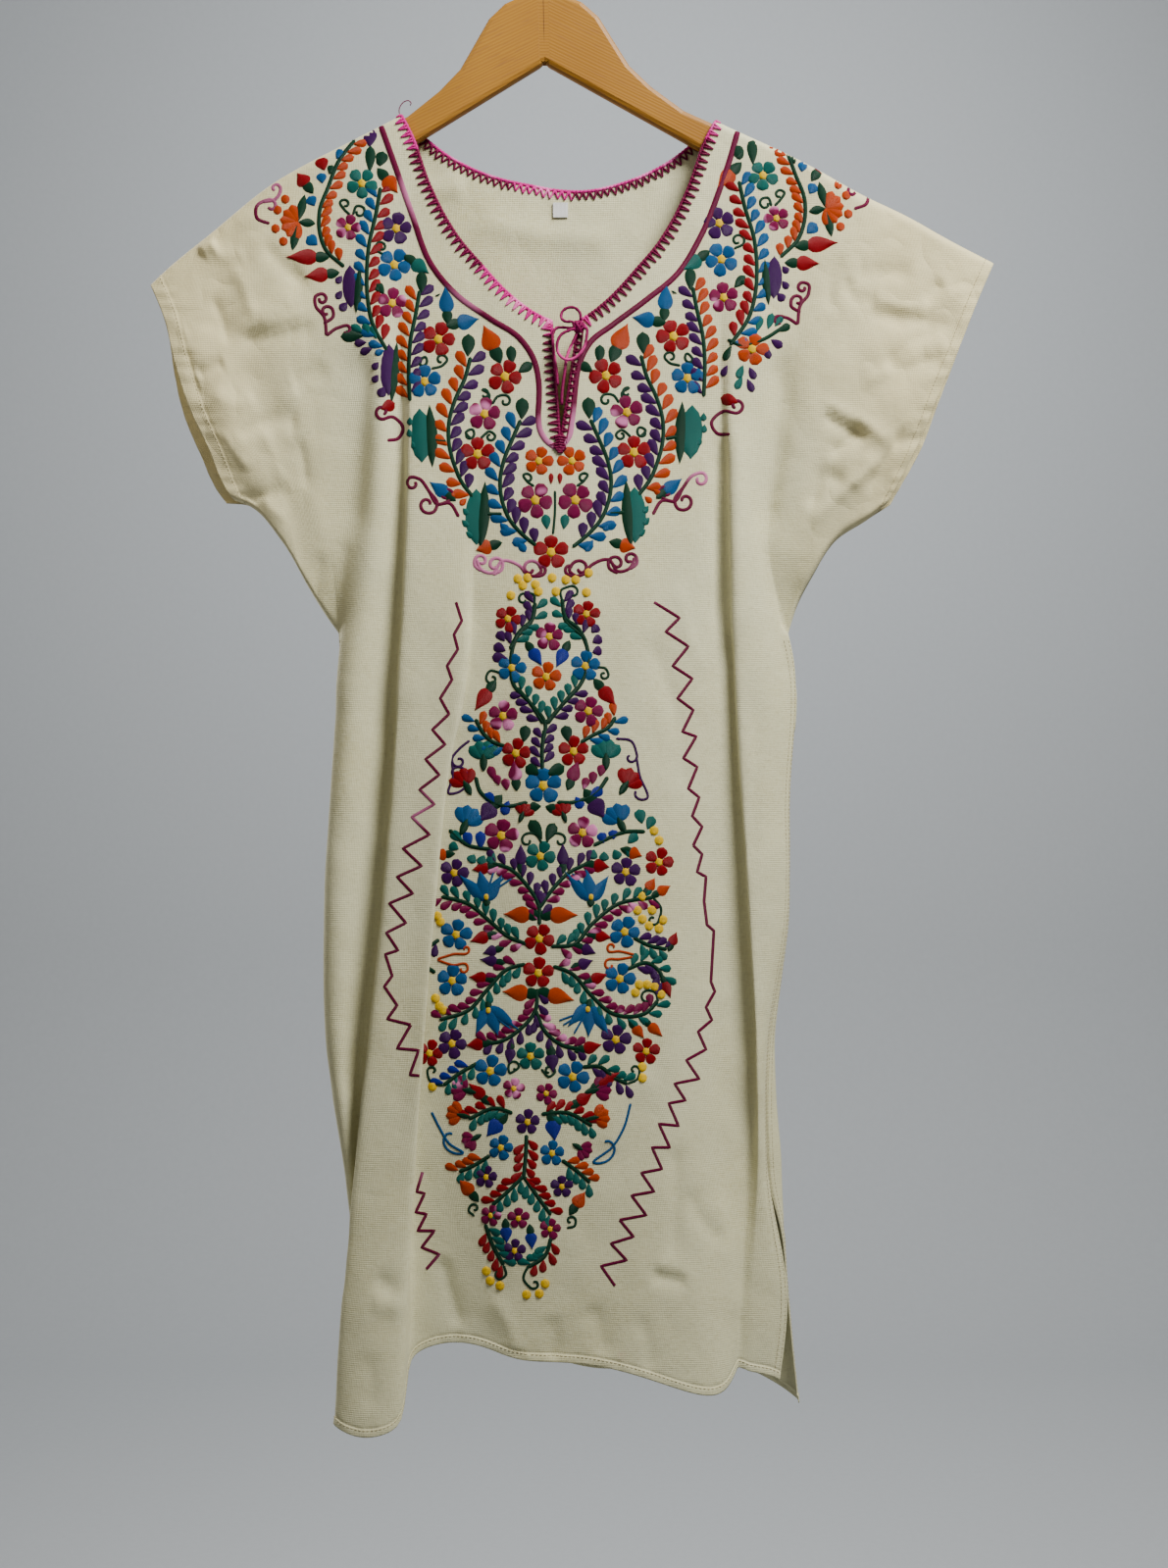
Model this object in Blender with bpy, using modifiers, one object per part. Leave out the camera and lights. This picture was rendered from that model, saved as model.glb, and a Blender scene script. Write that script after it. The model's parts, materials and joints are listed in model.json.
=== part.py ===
"""An embroidered cotton tunic dress on a wooden hanger.

Sizes are millimetres until they become coordinates: across is to the right of the hook, drop is
below it, and depth is behind it, so the front of the dress has depths below nought. The origin is
the inside top of the hook's crook, where a rail carries it.

The front and the back are lofts. Each is a table of lines that run down the cloth, one row for each
ridge, valley or fold edge, with its place at the STATIONS. A section at any height is a smooth curve
through the lines, so the cloth that a fold hides is there too.
"""

import math
from collections import namedtuple

import bmesh
import bpy
import numpy as np
from mathutils import Matrix, Vector
from mathutils.bvhtree import BVHTree

MM = 0.001

# Cloth
WALL = 1.2
WALL_MITRE = 1.15
SEAM_GAP = 0.15
STATIONS = (160, 300, 400, 500, 600, 700, 800, 900, 1000, 1100, 1200)
UNDERARM_DROP = 570
SLIT_TOP_DROP = 1008
SLIT_BLEND = 70
SHOULDER_ROUND = 6.5
SHOULDER_LIFT_NECK = 3.7
SHOULDER_LIFT_END = 2.1
CUFF_COLUMNS = 8

# Rows of the grid: from the shoulder or neck edge to the underarm, to the top of the slits, to the hem
EDGE_INSETS = (0.0, 0.6, 2.6, 5.5, 9.5)
UPPER_ROWS = (0.19, 0.38, 0.54, 0.69, 0.85, 1.0)
SLEEVE_ROWS = (0.26, 0.52, 0.78)
SLEEVE_LOW_INSETS = (6.0, 1.8, 0.0)
PLACKET_ROW = 6
SEAM_ROWS = 8
SLIT_ROWS = 4

# Neck, measured from the neck points, which lie NECK_HALF from its middle
NECK_MIDDLE = 13.5
NECK_HALF = 127.0
NECK_DROP_LEFT = 152.5
NECK_DROP_RIGHT = 157.5
NECK_ROUNDED = 88.0
NECK_COLUMNS = (0.0, 0.4, 1.6, 3.8)
COLUMN_CLEAR = 0.2
PLACKET_OPEN = 12.5
PLACKET_REACH = 45.0
Neck = namedtuple("Neck", "out below")
NECK_FRONT = (
    Neck(127, 0), Neck(115, 25), Neck(107, 49), Neck(97, 72), Neck(82, 98),
    Neck(63, 121), Neck(42, 144), Neck(22, 160), Neck(6, 168), Neck(0, 168),
)
NECK_BACK = (
    Neck(127, 0), Neck(110, 14), Neck(92, 28), Neck(70, 40), Neck(48, 48), Neck(25, 53), Neck(0, 55),
)

# Crochet edging: a flange on each face of the cloth and a bead along its edge
FLANGE_FRONT = 8.0
FLANGE_BEHIND = 6.5
FLANGE_FRONT_SHOULDER = 4.5
FLANGE_BEHIND_SHOULDER = 0.4
FLANGE_TAPER = 25.0
EDGING_THICK = 0.9
EDGING_GAP = 0.3
EDGING_GAP_SHOULDER = 1.2
EDGING_BEAD = 1.8
EDGING_PITCH = 10.0
PLACKET_START = 22.0
BAR_HALF = 5.0
BAR_FOOT_HALF = 2.8
BAR_CELLS = 4
BAR_FOOT = 5.0
BAR_THICK = 1.6

# Blank tag, sewn on the inside of the back
TAG_ACROSS = 15.0
TAG_DROP = 226.5
TAG_SIZE = 12.0
TAG_THICK = 0.8

# Hanger, in its own level frame, then turned by HANGER_LEAN about the hook
HANGER_LEAN = math.radians(1.2)
HANGER_THICK = 12.0
HANGER_BEVEL = 4.0
HANGER_JOINT = 0.3
Edge = namedtuple("Edge", "out drop")
HANGER_TOP = (
    Edge(0, 55), Edge(16, 56.5), Edge(31, 63), Edge(44, 75), Edge(56, 95), Edge(68, 115),
    Edge(85, 132), Edge(111, 152), Edge(155, 173), Edge(198, 193.5), Edge(213, 201),
)
HANGER_END = (Edge(219, 207), Edge(218, 216), Edge(210, 222))
HANGER_BELOW = (Edge(155, 197.5), Edge(122, 183.5), Edge(0, 112))

# Hook: steel wire, a shank up from the wood and a crook of three quarters of a turn
HOOK_WIRE = 3.6
HOOK_CROOK = 20.0
HOOK_TURNS = 0.75
HOOK_STEPS = 26
HOOK_SUNK = 0.4

# Tie cord at the top of the placket: its knot, and routes that stand in front of the cloth
CORD_DIAMETER = 2.6
CORD_STEP = 5.5
Knot = namedtuple("Knot", "across depth drop wide deep tall")
KNOT = Knot(29.5, -18.9, 327.0, 4.6, 3.6, 4.4)
Cord = namedtuple("Cord", "name route")
CORDS = (
    Cord("tie_ring", (
        (31.4, -18.8, 321.9), (30.8, -18.6, 316.0), (26.5, -18.4, 311.8), (21.0, -18.3, 311.8),
        (16.6, -18.4, 315.2), (16.0, -18.8, 320.2), (19.6, -19.6, 323.2), (24.0, -20.1, 323.2),
    )),
    Cord("tie_loop", (
        (35.6, -19.4, 328.4), (36.0, -21.2, 336.0), (33.4, -23.2, 345.6), (27.6, -24.4, 352.6),
        (20.0, -25.0, 354.6), (14.0, -24.8, 350.0), (12.6, -24.2, 342.4), (15.6, -23.4, 334.6),
        (22.4, -22.3, 330.6),
    )),
    Cord("tie_tail_right", (
        (28.1, -18.9, 332.4), (25.6, -19.8, 338.6), (22.2, -20.8, 346.0), (20.0, -21.4, 353.0),
        (19.0, -22.0, 361.0), (17.8, -22.8, 370.0), (16.6, -23.6, 380.0), (16.2, -24.4, 390.0),
    )),
    Cord("tie_tail_left", (
        (24.0, -17.9, 328.0), (18.0, -17.0, 327.2), (12.0, -16.8, 327.6), (9.0, -17.2, 332.6),
        (9.4, -18.2, 341.0), (10.6, -19.2, 352.0), (12.2, -20.4, 363.0), (13.0, -21.8, 374.0),
    )),
)

Line = namedtuple("Line", "name across depth hem")
Fold = namedtuple("Fold", "name edge tuck over under hem_over hem_under")
Back = namedtuple("Back", "name across_top across_hem lift_top lift_mid lift_hem hem")
Point = namedtuple("Point", "across drop")

# Front lines from its left side seam to its right one
LEFT_SEAM = Line(
    "left seam",
    (-199, -191, -181, -169, -162, -164, -168, -166, -150, -152, -156),
    (-9, -10, -11, -9, 0, 0, 0, 0, 0, -1, -2), 1190,
)
FRONT_LEFT = (
    Line(
        "left turn",
        (-176, -169, -163, -158, -162, -165, -169, -167, -151, -153, -157),
        (-9, -10, -10, -9, -6, -5, -5, -5, -5, -6, -7), 1190,
    ),
    Line(
        "left pipe side",
        (-160, -150, -149, -152, -164, -173, -178, -176, -158, -151, -153),
        (-9, -11, -11, -13, -14, -15, -15, -15, -14, -12, -13), 1190,
    ),
    Line(
        "left pipe",
        (-140, -131, -129, -134, -147, -156, -161, -160, -152, -146, -148),
        (-9, -14, -22, -25, -27, -29, -30, -29, -24, -17, -17), 1190,
    ),
    Line(
        "left groove",
        (-124, -120, -117, -117, -124, -130, -137, -147, -146, -142, -144),
        (-9, -11, -12, -12, -12, -12, -12, -12, -13, -15, -15), 1190,
    ),
)
FOLD_LEFT = Fold(
    "left fold",
    (-104, -105, -106, -108, -114, -120, -127, -138, -148, -158, -164),
    (-10, -8, -4, 0, 2, 3, 4, 5, 8, 15, 17),
    (-9, -11, -19, -26, -30, -33, -35, -37, -38, -40, -42),
    (-9, -10, -11, -11, -11, -11, -12, -13, -15, -18, -18),
    1194, 1190,
)
FRONT_PANEL = (
    Line(
        "left panel",
        (-90, -87, -87, -87, -89, -95, -101, -108, -118, -132, -140),
        (-9, -11, -18, -25, -29, -33, -36, -38, -41, -48, -52), 1204,
    ),
)
FOLD_ZIGZAG = Fold(
    "zigzag fold",
    (-60, -60, -60, -60, -59, -74, -83, -91, -98, -104, -109),
    (-9, -9, -8, -6, 0, 9, 13, 13, 6, 0, -2),
    (-9, -12, -18, -24, -31, -38, -42, -44, -44, -47, -50),
    (-9, -12, -17, -22, -24, -25, -26, -27, -25, -22, -19),
    1196, 1142,
)
FRONT_MIDDLE = (
    Line(
        "left of the flowers",
        (-44, -44, -43, -40, -38, -44, -49, -53, -58, -66, -70),
        (-9, -12, -17, -23, -27, -29, -30, -31, -29, -24, -20), 1131,
    ),
    Line(
        "flowers left",
        (-18, -18, -18, -16, -16, -18, -21, -25, -30, -36, -38),
        (-9, -13, -18, -25, -31, -34, -35, -36, -35, -32, -29), 1138,
    ),
    Line(
        "middle",
        (22, 21, 16, 10, 6, 1, -1, -7, -13, -16, -16),
        (-9, -12, -18, -26, -33, -36, -37, -38, -38, -37, -35), 1147,
    ),
    Line(
        "flowers right",
        (50, 50, 49, 47, 45, 44, 43, 41, 38, 37, 36),
        (-9, -12, -18, -25, -31, -35, -37, -38, -39, -38, -36), 1145,
    ),
    Line(
        "right of the flowers",
        (88, 88, 89, 90, 92, 92, 93, 92, 90, 88, 86),
        (-9, -12, -16, -21, -27, -31, -34, -36, -38, -41, -44), 1158,
    ),
    Line(
        "right lobe",
        (120, 120, 124, 126, 128, 128, 128, 128, 128, 128, 127),
        (-9, -11, -14, -17, -19, -21, -23, -25, -31, -40, -48), 1172,
    ),
    Line(
        "right lobe side",
        (135, 133, 134, 138, 141, 142, 143, 146, 148, 147, 146),
        (-9, -11, -12, -13, -13, -13, -13, -14, -20, -32, -42), 1170,
    ),
)
FOLD_RIGHT = Fold(
    "right fold",
    (158, 152, 149, 150, 153, 158, 164, 170, 171, 165, 162),
    (-10, -7, -3, 0, 2, 3, 4, 4, -4, -6, -8),
    (-9, -11, -17, -21, -23, -25, -27, -27, -22, -22, -24),
    (-9, -10, -10, -10, -10, -10, -10, -11, -13, -19, -23),
    1157, 1153,
)
FRONT_RIGHT = (
    Line(
        "right strip",
        (184, 173, 168, 166, 177, 177, 179, 176, 176, 180, 177),
        (-9, -11, -14, -18, -20, -22, -23, -23, -21, -21, -22), 1160,
    ),
    Line(
        "right turn",
        (203, 193, 184, 177, 200, 197, 195, 180, 180, 190, 182),
        (-9, -9, -10, -9, -7, -10, -12, -15, -17, -18, -19), 1163,
    ),
)
RIGHT_SEAM = Line(
    "right seam",
    (216, 208, 196, 182, 204, 199, 197, 182, 181, 196, 185),
    (-9, -9, -10, -8, 0, -4, -6, -9, -12, -15, -17), 1166,
)

# Back lines, from left to right as seen from the front
BACK_LINES = (
    Back("left ridge", -160, -152, 9, 14, 18, 1158),
    Back("left valley", -118, -112, 9, 10, 10, 1146),
    Back("left pleat", -80, -74, 9, 19, 25, 1142),
    Back("middle left", -38, -38, 9, 12, 13, 1146),
    Back("middle", 8, 0, 9, 20, 27, 1158),
    Back("middle right", 52, 42, 9, 13, 14, 1168),
    Back("right pleat", 92, 84, 9, 21, 26, 1168),
    Back("right valley", 134, 124, 9, 12, 13, 1158),
    Back("right ridge", 172, 166, 9, 17, 20, 1163),
)
BACK_LEFT_SIDE = Line(
    "back left side",
    (-176, -170, -166, -162, -162, -165, -169, -167, -151, -155, -158),
    (9, 9, 9, 8, 6, 7, 7, 7, 7, 7, 7), 1172,
)
BACK_RIGHT_SIDE = Line(
    "back right side",
    (203, 194, 184, 176, 202, 201, 202, 193, 197, 200, 208),
    (9, 9, 9, 8, 6, 6, 5, 4, 3, 1, -1), 1184,
)
BACK_SLIT_LEFT = Line(
    "back left slit edge",
    (-199, -191, -181, -169, -162, -164, -168, -166, -151, -155, -160),
    (9, 9, 9, 8, 0, 0, 0, 0, 1, 2, 3), 1168,
)
BACK_SLIT_RIGHT = Line(
    "back right slit edge",
    (216, 208, 196, 182, 204, 199, 197, 182, 190, 197, 207),
    (9, 9, 9, 8, 0, -4, -6, -9, -9, -8, -8), 1187,
)

# Shoulders past the hanger's ends, cuffs and underarm curves
SHOULDER_LEFT = (Point(-271, 252), Point(-298, 274), Point(-314, 289))
SHOULDER_RIGHT = (Point(256, 216), Point(297, 236), Point(325, 252), Point(363, 272))
CUFF_LEFT = (
    Point(-301, 320), Point(-292, 357), Point(-281, 391),
    Point(-267, 421), Point(-252, 456), Point(-247, 463),
)
CUFF_RIGHT = (
    Point(348, 306), Point(334, 341), Point(317, 380), Point(301, 420), Point(286, 449), Point(276, 467),
)
CUFF_LEFT_BACK = (
    Point(-304, 322), Point(-299, 357), Point(-291, 391),
    Point(-277, 424), Point(-260, 458), Point(-254, 465),
)
CUFF_RIGHT_BACK = (
    Point(349, 307), Point(337, 342), Point(322, 381), Point(307, 420), Point(291, 449), Point(281, 466),
)
UNDERARM_LEFT = (Point(-236, 467), Point(-209, 496), Point(-187, 534), Point(-174, 555))
UNDERARM_RIGHT = (Point(264, 477), Point(236, 496), Point(218, 524), Point(206, 547))
SLEEVE_DEPTH = 9.0
SLEEVE_SWELL = 5.0
SLEEVE_CREASE = 3.0


def mix(low, high, share):
    return low + (high - low) * share


def ease(share):
    """Nought to one with a level start and end."""
    share = min(max(share, 0.0), 1.0)
    return share * share * (3 - 2 * share)


def smooth_through(places, values, at):
    """A cubic through values given at rising places, and straight past both ends."""
    places = np.asarray(places, float)
    values = np.asarray(values, float)
    slopes = np.gradient(values, places)
    if at <= places[0]:
        return values[0] + slopes[0] * (at - places[0])
    if at >= places[-1]:
        return values[-1] + slopes[-1] * (at - places[-1])
    k = int(np.searchsorted(places, at, side="right")) - 1
    span = places[k + 1] - places[k]
    t = (at - places[k]) / span
    bend_in = (1 + 2 * t) * (1 - t) ** 2
    bend_out = t * t * (3 - 2 * t)
    lean_in = t * (1 - t) ** 2 * span
    lean_out = t * t * (t - 1) * span
    return bend_in * values[k] + bend_out * values[k + 1] + lean_in * slopes[k] + lean_out * slopes[k + 1]


def lengths_along(points):
    steps = np.linalg.norm(np.diff(np.asarray(points, float), axis=0), axis=1)
    return np.concatenate([[0.0], np.cumsum(steps)])


def along_points(points, share):
    """The place at a share of the length of a smooth curve through points."""
    points = np.asarray(points, float)
    lengths = lengths_along(points)
    at = share * lengths[-1]
    return np.array([smooth_through(lengths, points[:, axis], at) for axis in range(points.shape[1])])


def fold_lines(fold, faces_left):
    """The four lines of a fold, left to right: the cloth beneath turns back under the edge above it."""
    over = np.asarray(fold.over, float)
    under = np.asarray(fold.under, float)
    edge = np.asarray(fold.edge, float)
    side = 1 if faces_left else -1
    hidden = edge + side * np.asarray(fold.tuck, float)
    hem_low = mix(fold.hem_under, fold.hem_over, 0.33)
    hem_high = mix(fold.hem_under, fold.hem_over, 0.67)
    lines = [
        Line(fold.name + " beneath", hidden, under, fold.hem_under),
        Line(fold.name + " return", hidden, mix(under, over, 0.33), hem_low),
        Line(fold.name + " rise", edge, mix(under, over, 0.67), hem_high),
        Line(fold.name + " edge", edge, over, fold.hem_over),
    ]
    return lines if faces_left else lines[::-1]


def back_line(row):
    """A back line's row of three heights, spread over the stations."""
    shares = [(drop - STATIONS[0]) / (STATIONS[-1] - STATIONS[0]) for drop in STATIONS]
    heights = (0.0, 0.42, 1.0)
    lifts = (row.lift_top, row.lift_mid, row.lift_hem)
    across = [mix(row.across_top, row.across_hem, share) for share in shares]
    depth = [float(np.interp(share, heights, lifts)) for share in shares]
    return Line(row.name, across, depth, row.hem)


def front_lines():
    lines = [LEFT_SEAM, *FRONT_LEFT, *fold_lines(FOLD_LEFT, True), *FRONT_PANEL]
    lines += [*fold_lines(FOLD_ZIGZAG, False), *FRONT_MIDDLE, *fold_lines(FOLD_RIGHT, True)]
    return lines + [*FRONT_RIGHT, RIGHT_SEAM]


def back_lines():
    return [BACK_SLIT_LEFT, BACK_LEFT_SIDE, *map(back_line, BACK_LINES), BACK_RIGHT_SIDE, BACK_SLIT_RIGHT]


def fine_front(span):
    """A second column after a line at the folds and at the sides of the front."""
    return span <= 8 or 10 <= span <= 13 or span >= 21


def fine_back(span):
    return True


def lean(across, drop):
    """A place on the level hanger, turned about the hook."""
    turned = Matrix.Rotation(HANGER_LEAN, 2) @ Vector((across, -drop))
    return turned.x, -turned.y


def shoulder_points(side):
    """The shoulder line from the neck point outwards: over the hanger's arm, then past its end."""
    arm = [edge for edge in HANGER_TOP if edge.out > 100]
    covered = []
    for k, edge in enumerate(arm):
        lift = mix(SHOULDER_LIFT_NECK, SHOULDER_LIFT_END, k / (len(arm) - 1))
        covered.append(lean(side * edge.out, edge.drop - lift))
    free = SHOULDER_LEFT if side < 0 else SHOULDER_RIGHT
    return covered + [tuple(point) for point in free]


def shoulder_drop(side, across):
    points = shoulder_points(side)[::side]
    return smooth_through([p[0] for p in points], [p[1] for p in points], across)


def neck_points(table):
    """The neck edge from its left point to its right one."""
    left_point = shoulder_drop(-1, NECK_MIDDLE - NECK_HALF)
    right_point = shoulder_drop(1, NECK_MIDDLE + NECK_HALF)
    left = [(NECK_MIDDLE - row.out, left_point + row.below) for row in table[:-1]]
    right = [(NECK_MIDDLE + row.out, right_point + row.below) for row in table[:-1]]
    middle = (NECK_MIDDLE, mix(left_point, right_point, 0.5) + table[-1].below)
    return [*left, middle, *right[::-1]]


def top_drop(table, across):
    """The drop of the panel's top edge: the neck between its points, a shoulder past them."""
    if across < NECK_MIDDLE - NECK_HALF:
        return shoulder_drop(-1, across)
    if across > NECK_MIDDLE + NECK_HALF:
        return shoulder_drop(1, across)
    points = neck_points(table)
    return smooth_through([p[0] for p in points], [p[1] for p in points], across)


def rounding(inset, reach):
    """The share of its depth that the cloth has at an inset from a seam, round a quarter turn."""
    share = min(max(inset / reach, 0.0), 1.0)
    return math.sqrt(1 - (1 - share) ** 2)


PLACKET_SHARE = UPPER_ROWS[PLACKET_ROW - len(EDGE_INSETS)]
PLACKET_BOTTOM = mix(top_drop(NECK_FRONT, NECK_MIDDLE) + EDGE_INSETS[-1], UNDERARM_DROP, PLACKET_SHARE)


def placket_shift(across, drop, side):
    """How far the open placket spreads the cloth beside it."""
    near = max(0.0, 1 - abs(across - NECK_MIDDLE) / PLACKET_REACH)
    rise = max(PLACKET_BOTTOM - drop, 0.0) / 100.0
    return side * PLACKET_OPEN * near * min(rise, 1.3)


class Sections:
    """The smooth section through a panel's lines at any drop, and its columns."""

    def __init__(self, lines, fine, neck):
        self.lines = lines
        self.count = len(lines)
        self.places = self.with_neck_columns(self.column_places(fine), neck)

    def column_places(self, fine):
        """A column for each line and one more after it where fine says so, but none crowding the seams."""
        places = [0.0, 1.5]
        for span in range(2, self.count):
            places.append(float(span))
            if fine(span):
                places.append(span + 0.5)
        return places[:-1] + [self.count - 0.5, self.count + 1.0]

    def with_neck_columns(self, places, neck):
        """Puts a column through each neck point and more close beside it, where the neck edge turns."""
        added = []
        for side in (-1, 1):
            for inset in NECK_COLUMNS:
                across = NECK_MIDDLE + side * (NECK_HALF - inset)
                added.append(self.place_through(across, top_drop(neck, across)))
        kept = [place for place in places if min(abs(place - new) for new in added) > COLUMN_CLEAR]
        return sorted(kept + added)

    def place_through(self, across, drop):
        low, high = 1.0, float(self.count)
        for _ in range(40):
            middle = 0.5 * (low + high)
            if self.at(middle, drop)[0] < across:
                low = middle
            else:
                high = middle
        return high

    def weights(self, place):
        """Cubic B-spline weights, with each end line counted three times so that the curve reaches it."""
        span = min(int(place), self.count)
        t = place - span
        shares = ((1 - t) ** 3, 3 * t ** 3 - 6 * t * t + 4, -3 * t ** 3 + 3 * t * t + 3 * t + 1, t ** 3)
        weights = {}
        for offset, share in enumerate(shares):
            line = min(max(span + offset - 2, 0), self.count - 1)
            weights[line] = weights.get(line, 0.0) + share / 6
        return weights

    def at(self, place, drop):
        """Across and depth at a place and a drop."""
        across = depth = 0.0
        for line, weight in self.weights(place).items():
            across += weight * smooth_through(STATIONS, self.lines[line].across, drop)
            depth += weight * smooth_through(STATIONS, self.lines[line].depth, drop)
        return across, depth

    def hem(self, place):
        return sum(weight * self.lines[line].hem for line, weight in self.weights(place).items())


class Panel:
    """One panel: a grid of points on its outer face, thickened inwards, with flat mitres at its seams."""

    def __init__(self, name, facing, lines, fine, neck, cuffs, has_placket):
        self.name = name
        self.facing = facing
        self.sections = Sections(lines, fine, neck)
        self.neck = neck
        self.cuffs = cuffs
        self.has_placket = has_placket
        self.mesh = bmesh.new()
        self.vertices = {}
        self.seams = set()
        self.underarm_row = len(EDGE_INSETS) + len(UPPER_ROWS) - 1
        self.slit_row = self.underarm_row + SEAM_ROWS
        names = [line.name for line in lines]
        self.middle = self.sections.places.index(names.index("middle") + 1.0) if has_placket else None

    def point_at(self, place, drop, side):
        across, depth = self.sections.at(place, drop)
        if self.has_placket:
            across += placket_shift(across, drop, side)
        return across, depth

    def top(self, place, side):
        """The drop where a column meets the panel's top edge, found by halving."""
        low, high = 100.0, float(UNDERARM_DROP)
        for _ in range(40):
            middle = 0.5 * (low + high)
            if middle < top_drop(self.neck, self.point_at(place, middle, side)[0]):
                low = middle
            else:
                high = middle
        return high

    def rounded(self, across, depth, drop):
        """Depth with the shoulder's rounding near its seam."""
        if abs(across - NECK_MIDDLE) < NECK_ROUNDED:
            return depth
        side = -1 if across < NECK_MIDDLE else 1
        share = rounding(drop - shoulder_drop(side, across), SHOULDER_ROUND)
        return self.facing * max(abs(depth) * share, SEAM_GAP)

    def seam_point(self, line, slit_edge, drop):
        """A point of a side seam, or of the slit's edge below it."""
        seam = [smooth_through(STATIONS, values, drop) for values in (line.across, line.depth)]
        edge = [smooth_through(STATIONS, values, drop) for values in (slit_edge.across, slit_edge.depth)]
        share = ease((drop - SLIT_TOP_DROP) / SLIT_BLEND)
        across, depth = mix(seam[0], edge[0], share), mix(seam[1], edge[1], share)
        return across, depth + self.facing * SEAM_GAP, drop

    def column(self, place, side):
        """A column's points from the top edge to the hem."""
        top = self.top(place, side)
        drops = [top + inset for inset in EDGE_INSETS]
        drops += [mix(drops[-1], UNDERARM_DROP, share) for share in UPPER_ROWS]
        drops += [mix(UNDERARM_DROP, SLIT_TOP_DROP, (k + 1) / SEAM_ROWS) for k in range(SEAM_ROWS)]
        hem = self.sections.hem(place)
        drops += [mix(SLIT_TOP_DROP, hem, (k + 1) / SLIT_ROWS) for k in range(SLIT_ROWS)]
        points = []
        for drop in drops:
            across, depth = self.point_at(place, drop, side)
            points.append((across, self.rounded(across, depth, drop), drop))
        return points

    def vertex(self, key, point):
        if key not in self.vertices:
            across, depth, drop = point
            self.vertices[key] = self.mesh.verts.new((across * MM, depth * MM, -drop * MM))
        return self.vertices[key]

    def face(self, corners):
        self.mesh.faces.new(corners if self.facing < 0 else corners[::-1])

    def body(self):
        places = self.sections.places
        self.grid = []
        for k, place in enumerate(places):
            left = self.middle is None or k <= self.middle
            self.grid.append(self.column(place, -1 if left else 1))
        edges = ((0, LEFT_SEAM, self.sections.lines[0]), (-1, RIGHT_SEAM, self.sections.lines[-1]))
        for k, seam, slit_edge in edges:
            for row in range(self.underarm_row, len(self.grid[k])):
                self.grid[k][row] = self.seam_point(seam, slit_edge, self.grid[k][row][2])
        right_of_placket = self.column(places[self.middle], 1) if self.has_placket else None
        for k in range(len(places) - 1):
            for row in range(len(self.grid[k]) - 1):
                corners = []
                for c, r in ((k, row), (k, row + 1), (k + 1, row + 1), (k + 1, row)):
                    if k == c == self.middle and r < PLACKET_ROW:
                        corners.append(self.vertex((c, r, "right"), right_of_placket[r]))
                    else:
                        corners.append(self.vertex((c, r), self.grid[c][r]))
                self.face(corners)
        self.mark_seams()

    def mark_seams(self):
        """Notes the vertices that lie on the shoulder and side seams."""
        last = len(self.grid) - 1
        for k, column in enumerate(self.grid):
            if abs(column[0][0] - NECK_MIDDLE) > NECK_HALF - 0.5:
                self.seams.add(self.vertices[(k, 0)])
        for k in (0, last):
            for row in range(self.underarm_row, self.slit_row + 1):
                self.seams.add(self.vertices[(k, row)])

    def sleeve(self, side, underarm):
        """A cap sleeve: a patch between the body's side column, the shoulder, the cuff and the underarm."""
        edge = 0 if side < 0 else len(self.grid) - 1
        last = self.underarm_row
        inner = [np.array((p[0], p[2])) for p in self.grid[edge][: last + 1]]
        inner_depth = [abs(p[1]) for p in self.grid[edge][: last + 1]]
        tip = np.array(SHOULDER_LEFT[-1] if side < 0 else SHOULDER_RIGHT[-1], float)
        shoulder = [p for p in shoulder_points(side) if side * (p[0] - inner[0][0]) > 1]
        top_line = np.array([inner[0], *shoulder])
        cuff_line = np.array([tip, *self.cuffs[side]])
        under_line = np.array([inner[-1], *underarm[::-1], self.cuffs[side][-1]])
        inner_rows = lengths_along(inner) / lengths_along(inner)[-1]
        length = lengths_along(cuff_line)[-1]
        insets = list(EDGE_INSETS)
        insets += [mix(EDGE_INSETS[-1], length - SLEEVE_LOW_INSETS[0], share) for share in SLEEVE_ROWS]
        insets += [length - inset for inset in SLEEVE_LOW_INSETS]
        rows = [inset / length for inset in insets]
        previous = [self.vertices[(edge, row)] for row in range(last + 1)]
        for step in range(1, CUFF_COLUMNS + 1):
            a = step / CUFF_COLUMNS
            current = []
            for row in range(last + 1):
                v = mix(inner_rows[row], rows[row], min(1.0, 1.6 * a))
                sides = mix(along_points(inner, v), along_points(cuff_line, v), a)
                ends = mix(along_points(top_line, a), along_points(under_line, a), v)
                corners = mix(mix(inner[0], tip, a), mix(inner[-1], cuff_line[-1], a), v)
                across, drop = sides + ends - corners
                depth = self.sleeve_depth(a, v, inner_depth[row], length)
                current.append(self.vertex((side, step, row), (across, self.facing * depth, drop)))
            for row in range(last):
                corners = [previous[row], previous[row + 1], current[row + 1], current[row]]
                self.face(corners if side > 0 else corners[::-1])
            self.seams.add(current[0])
            self.seams.add(current[-1])
            previous = current

    def sleeve_depth(self, a, v, inner_depth, length):
        """Half the sleeve's thickness, least at its seams, with soft creases from the hanger's end."""
        if v <= 0.0 or v >= 1.0:
            return SEAM_GAP
        swell = SLEEVE_DEPTH + SLEEVE_SWELL * math.sin(math.pi * v)
        crease = SLEEVE_CREASE * math.sin(2.5 * math.pi * (a + 0.35 * v)) * math.sin(math.pi * v)
        ends = rounding(v * length, SHOULDER_ROUND) * rounding((1 - v) * length, SHOULDER_ROUND)
        return max(mix(inner_depth, (swell + crease) * ends, min(1.0, 2.5 * a)), SEAM_GAP)

    def outer_tree(self):
        bmesh.ops.triangulate(self.mesh, faces=self.mesh.faces[:], quad_method="SHORT_EDGE")
        self.mesh.normal_update()
        return BVHTree.FromBMesh(self.mesh)

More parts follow.
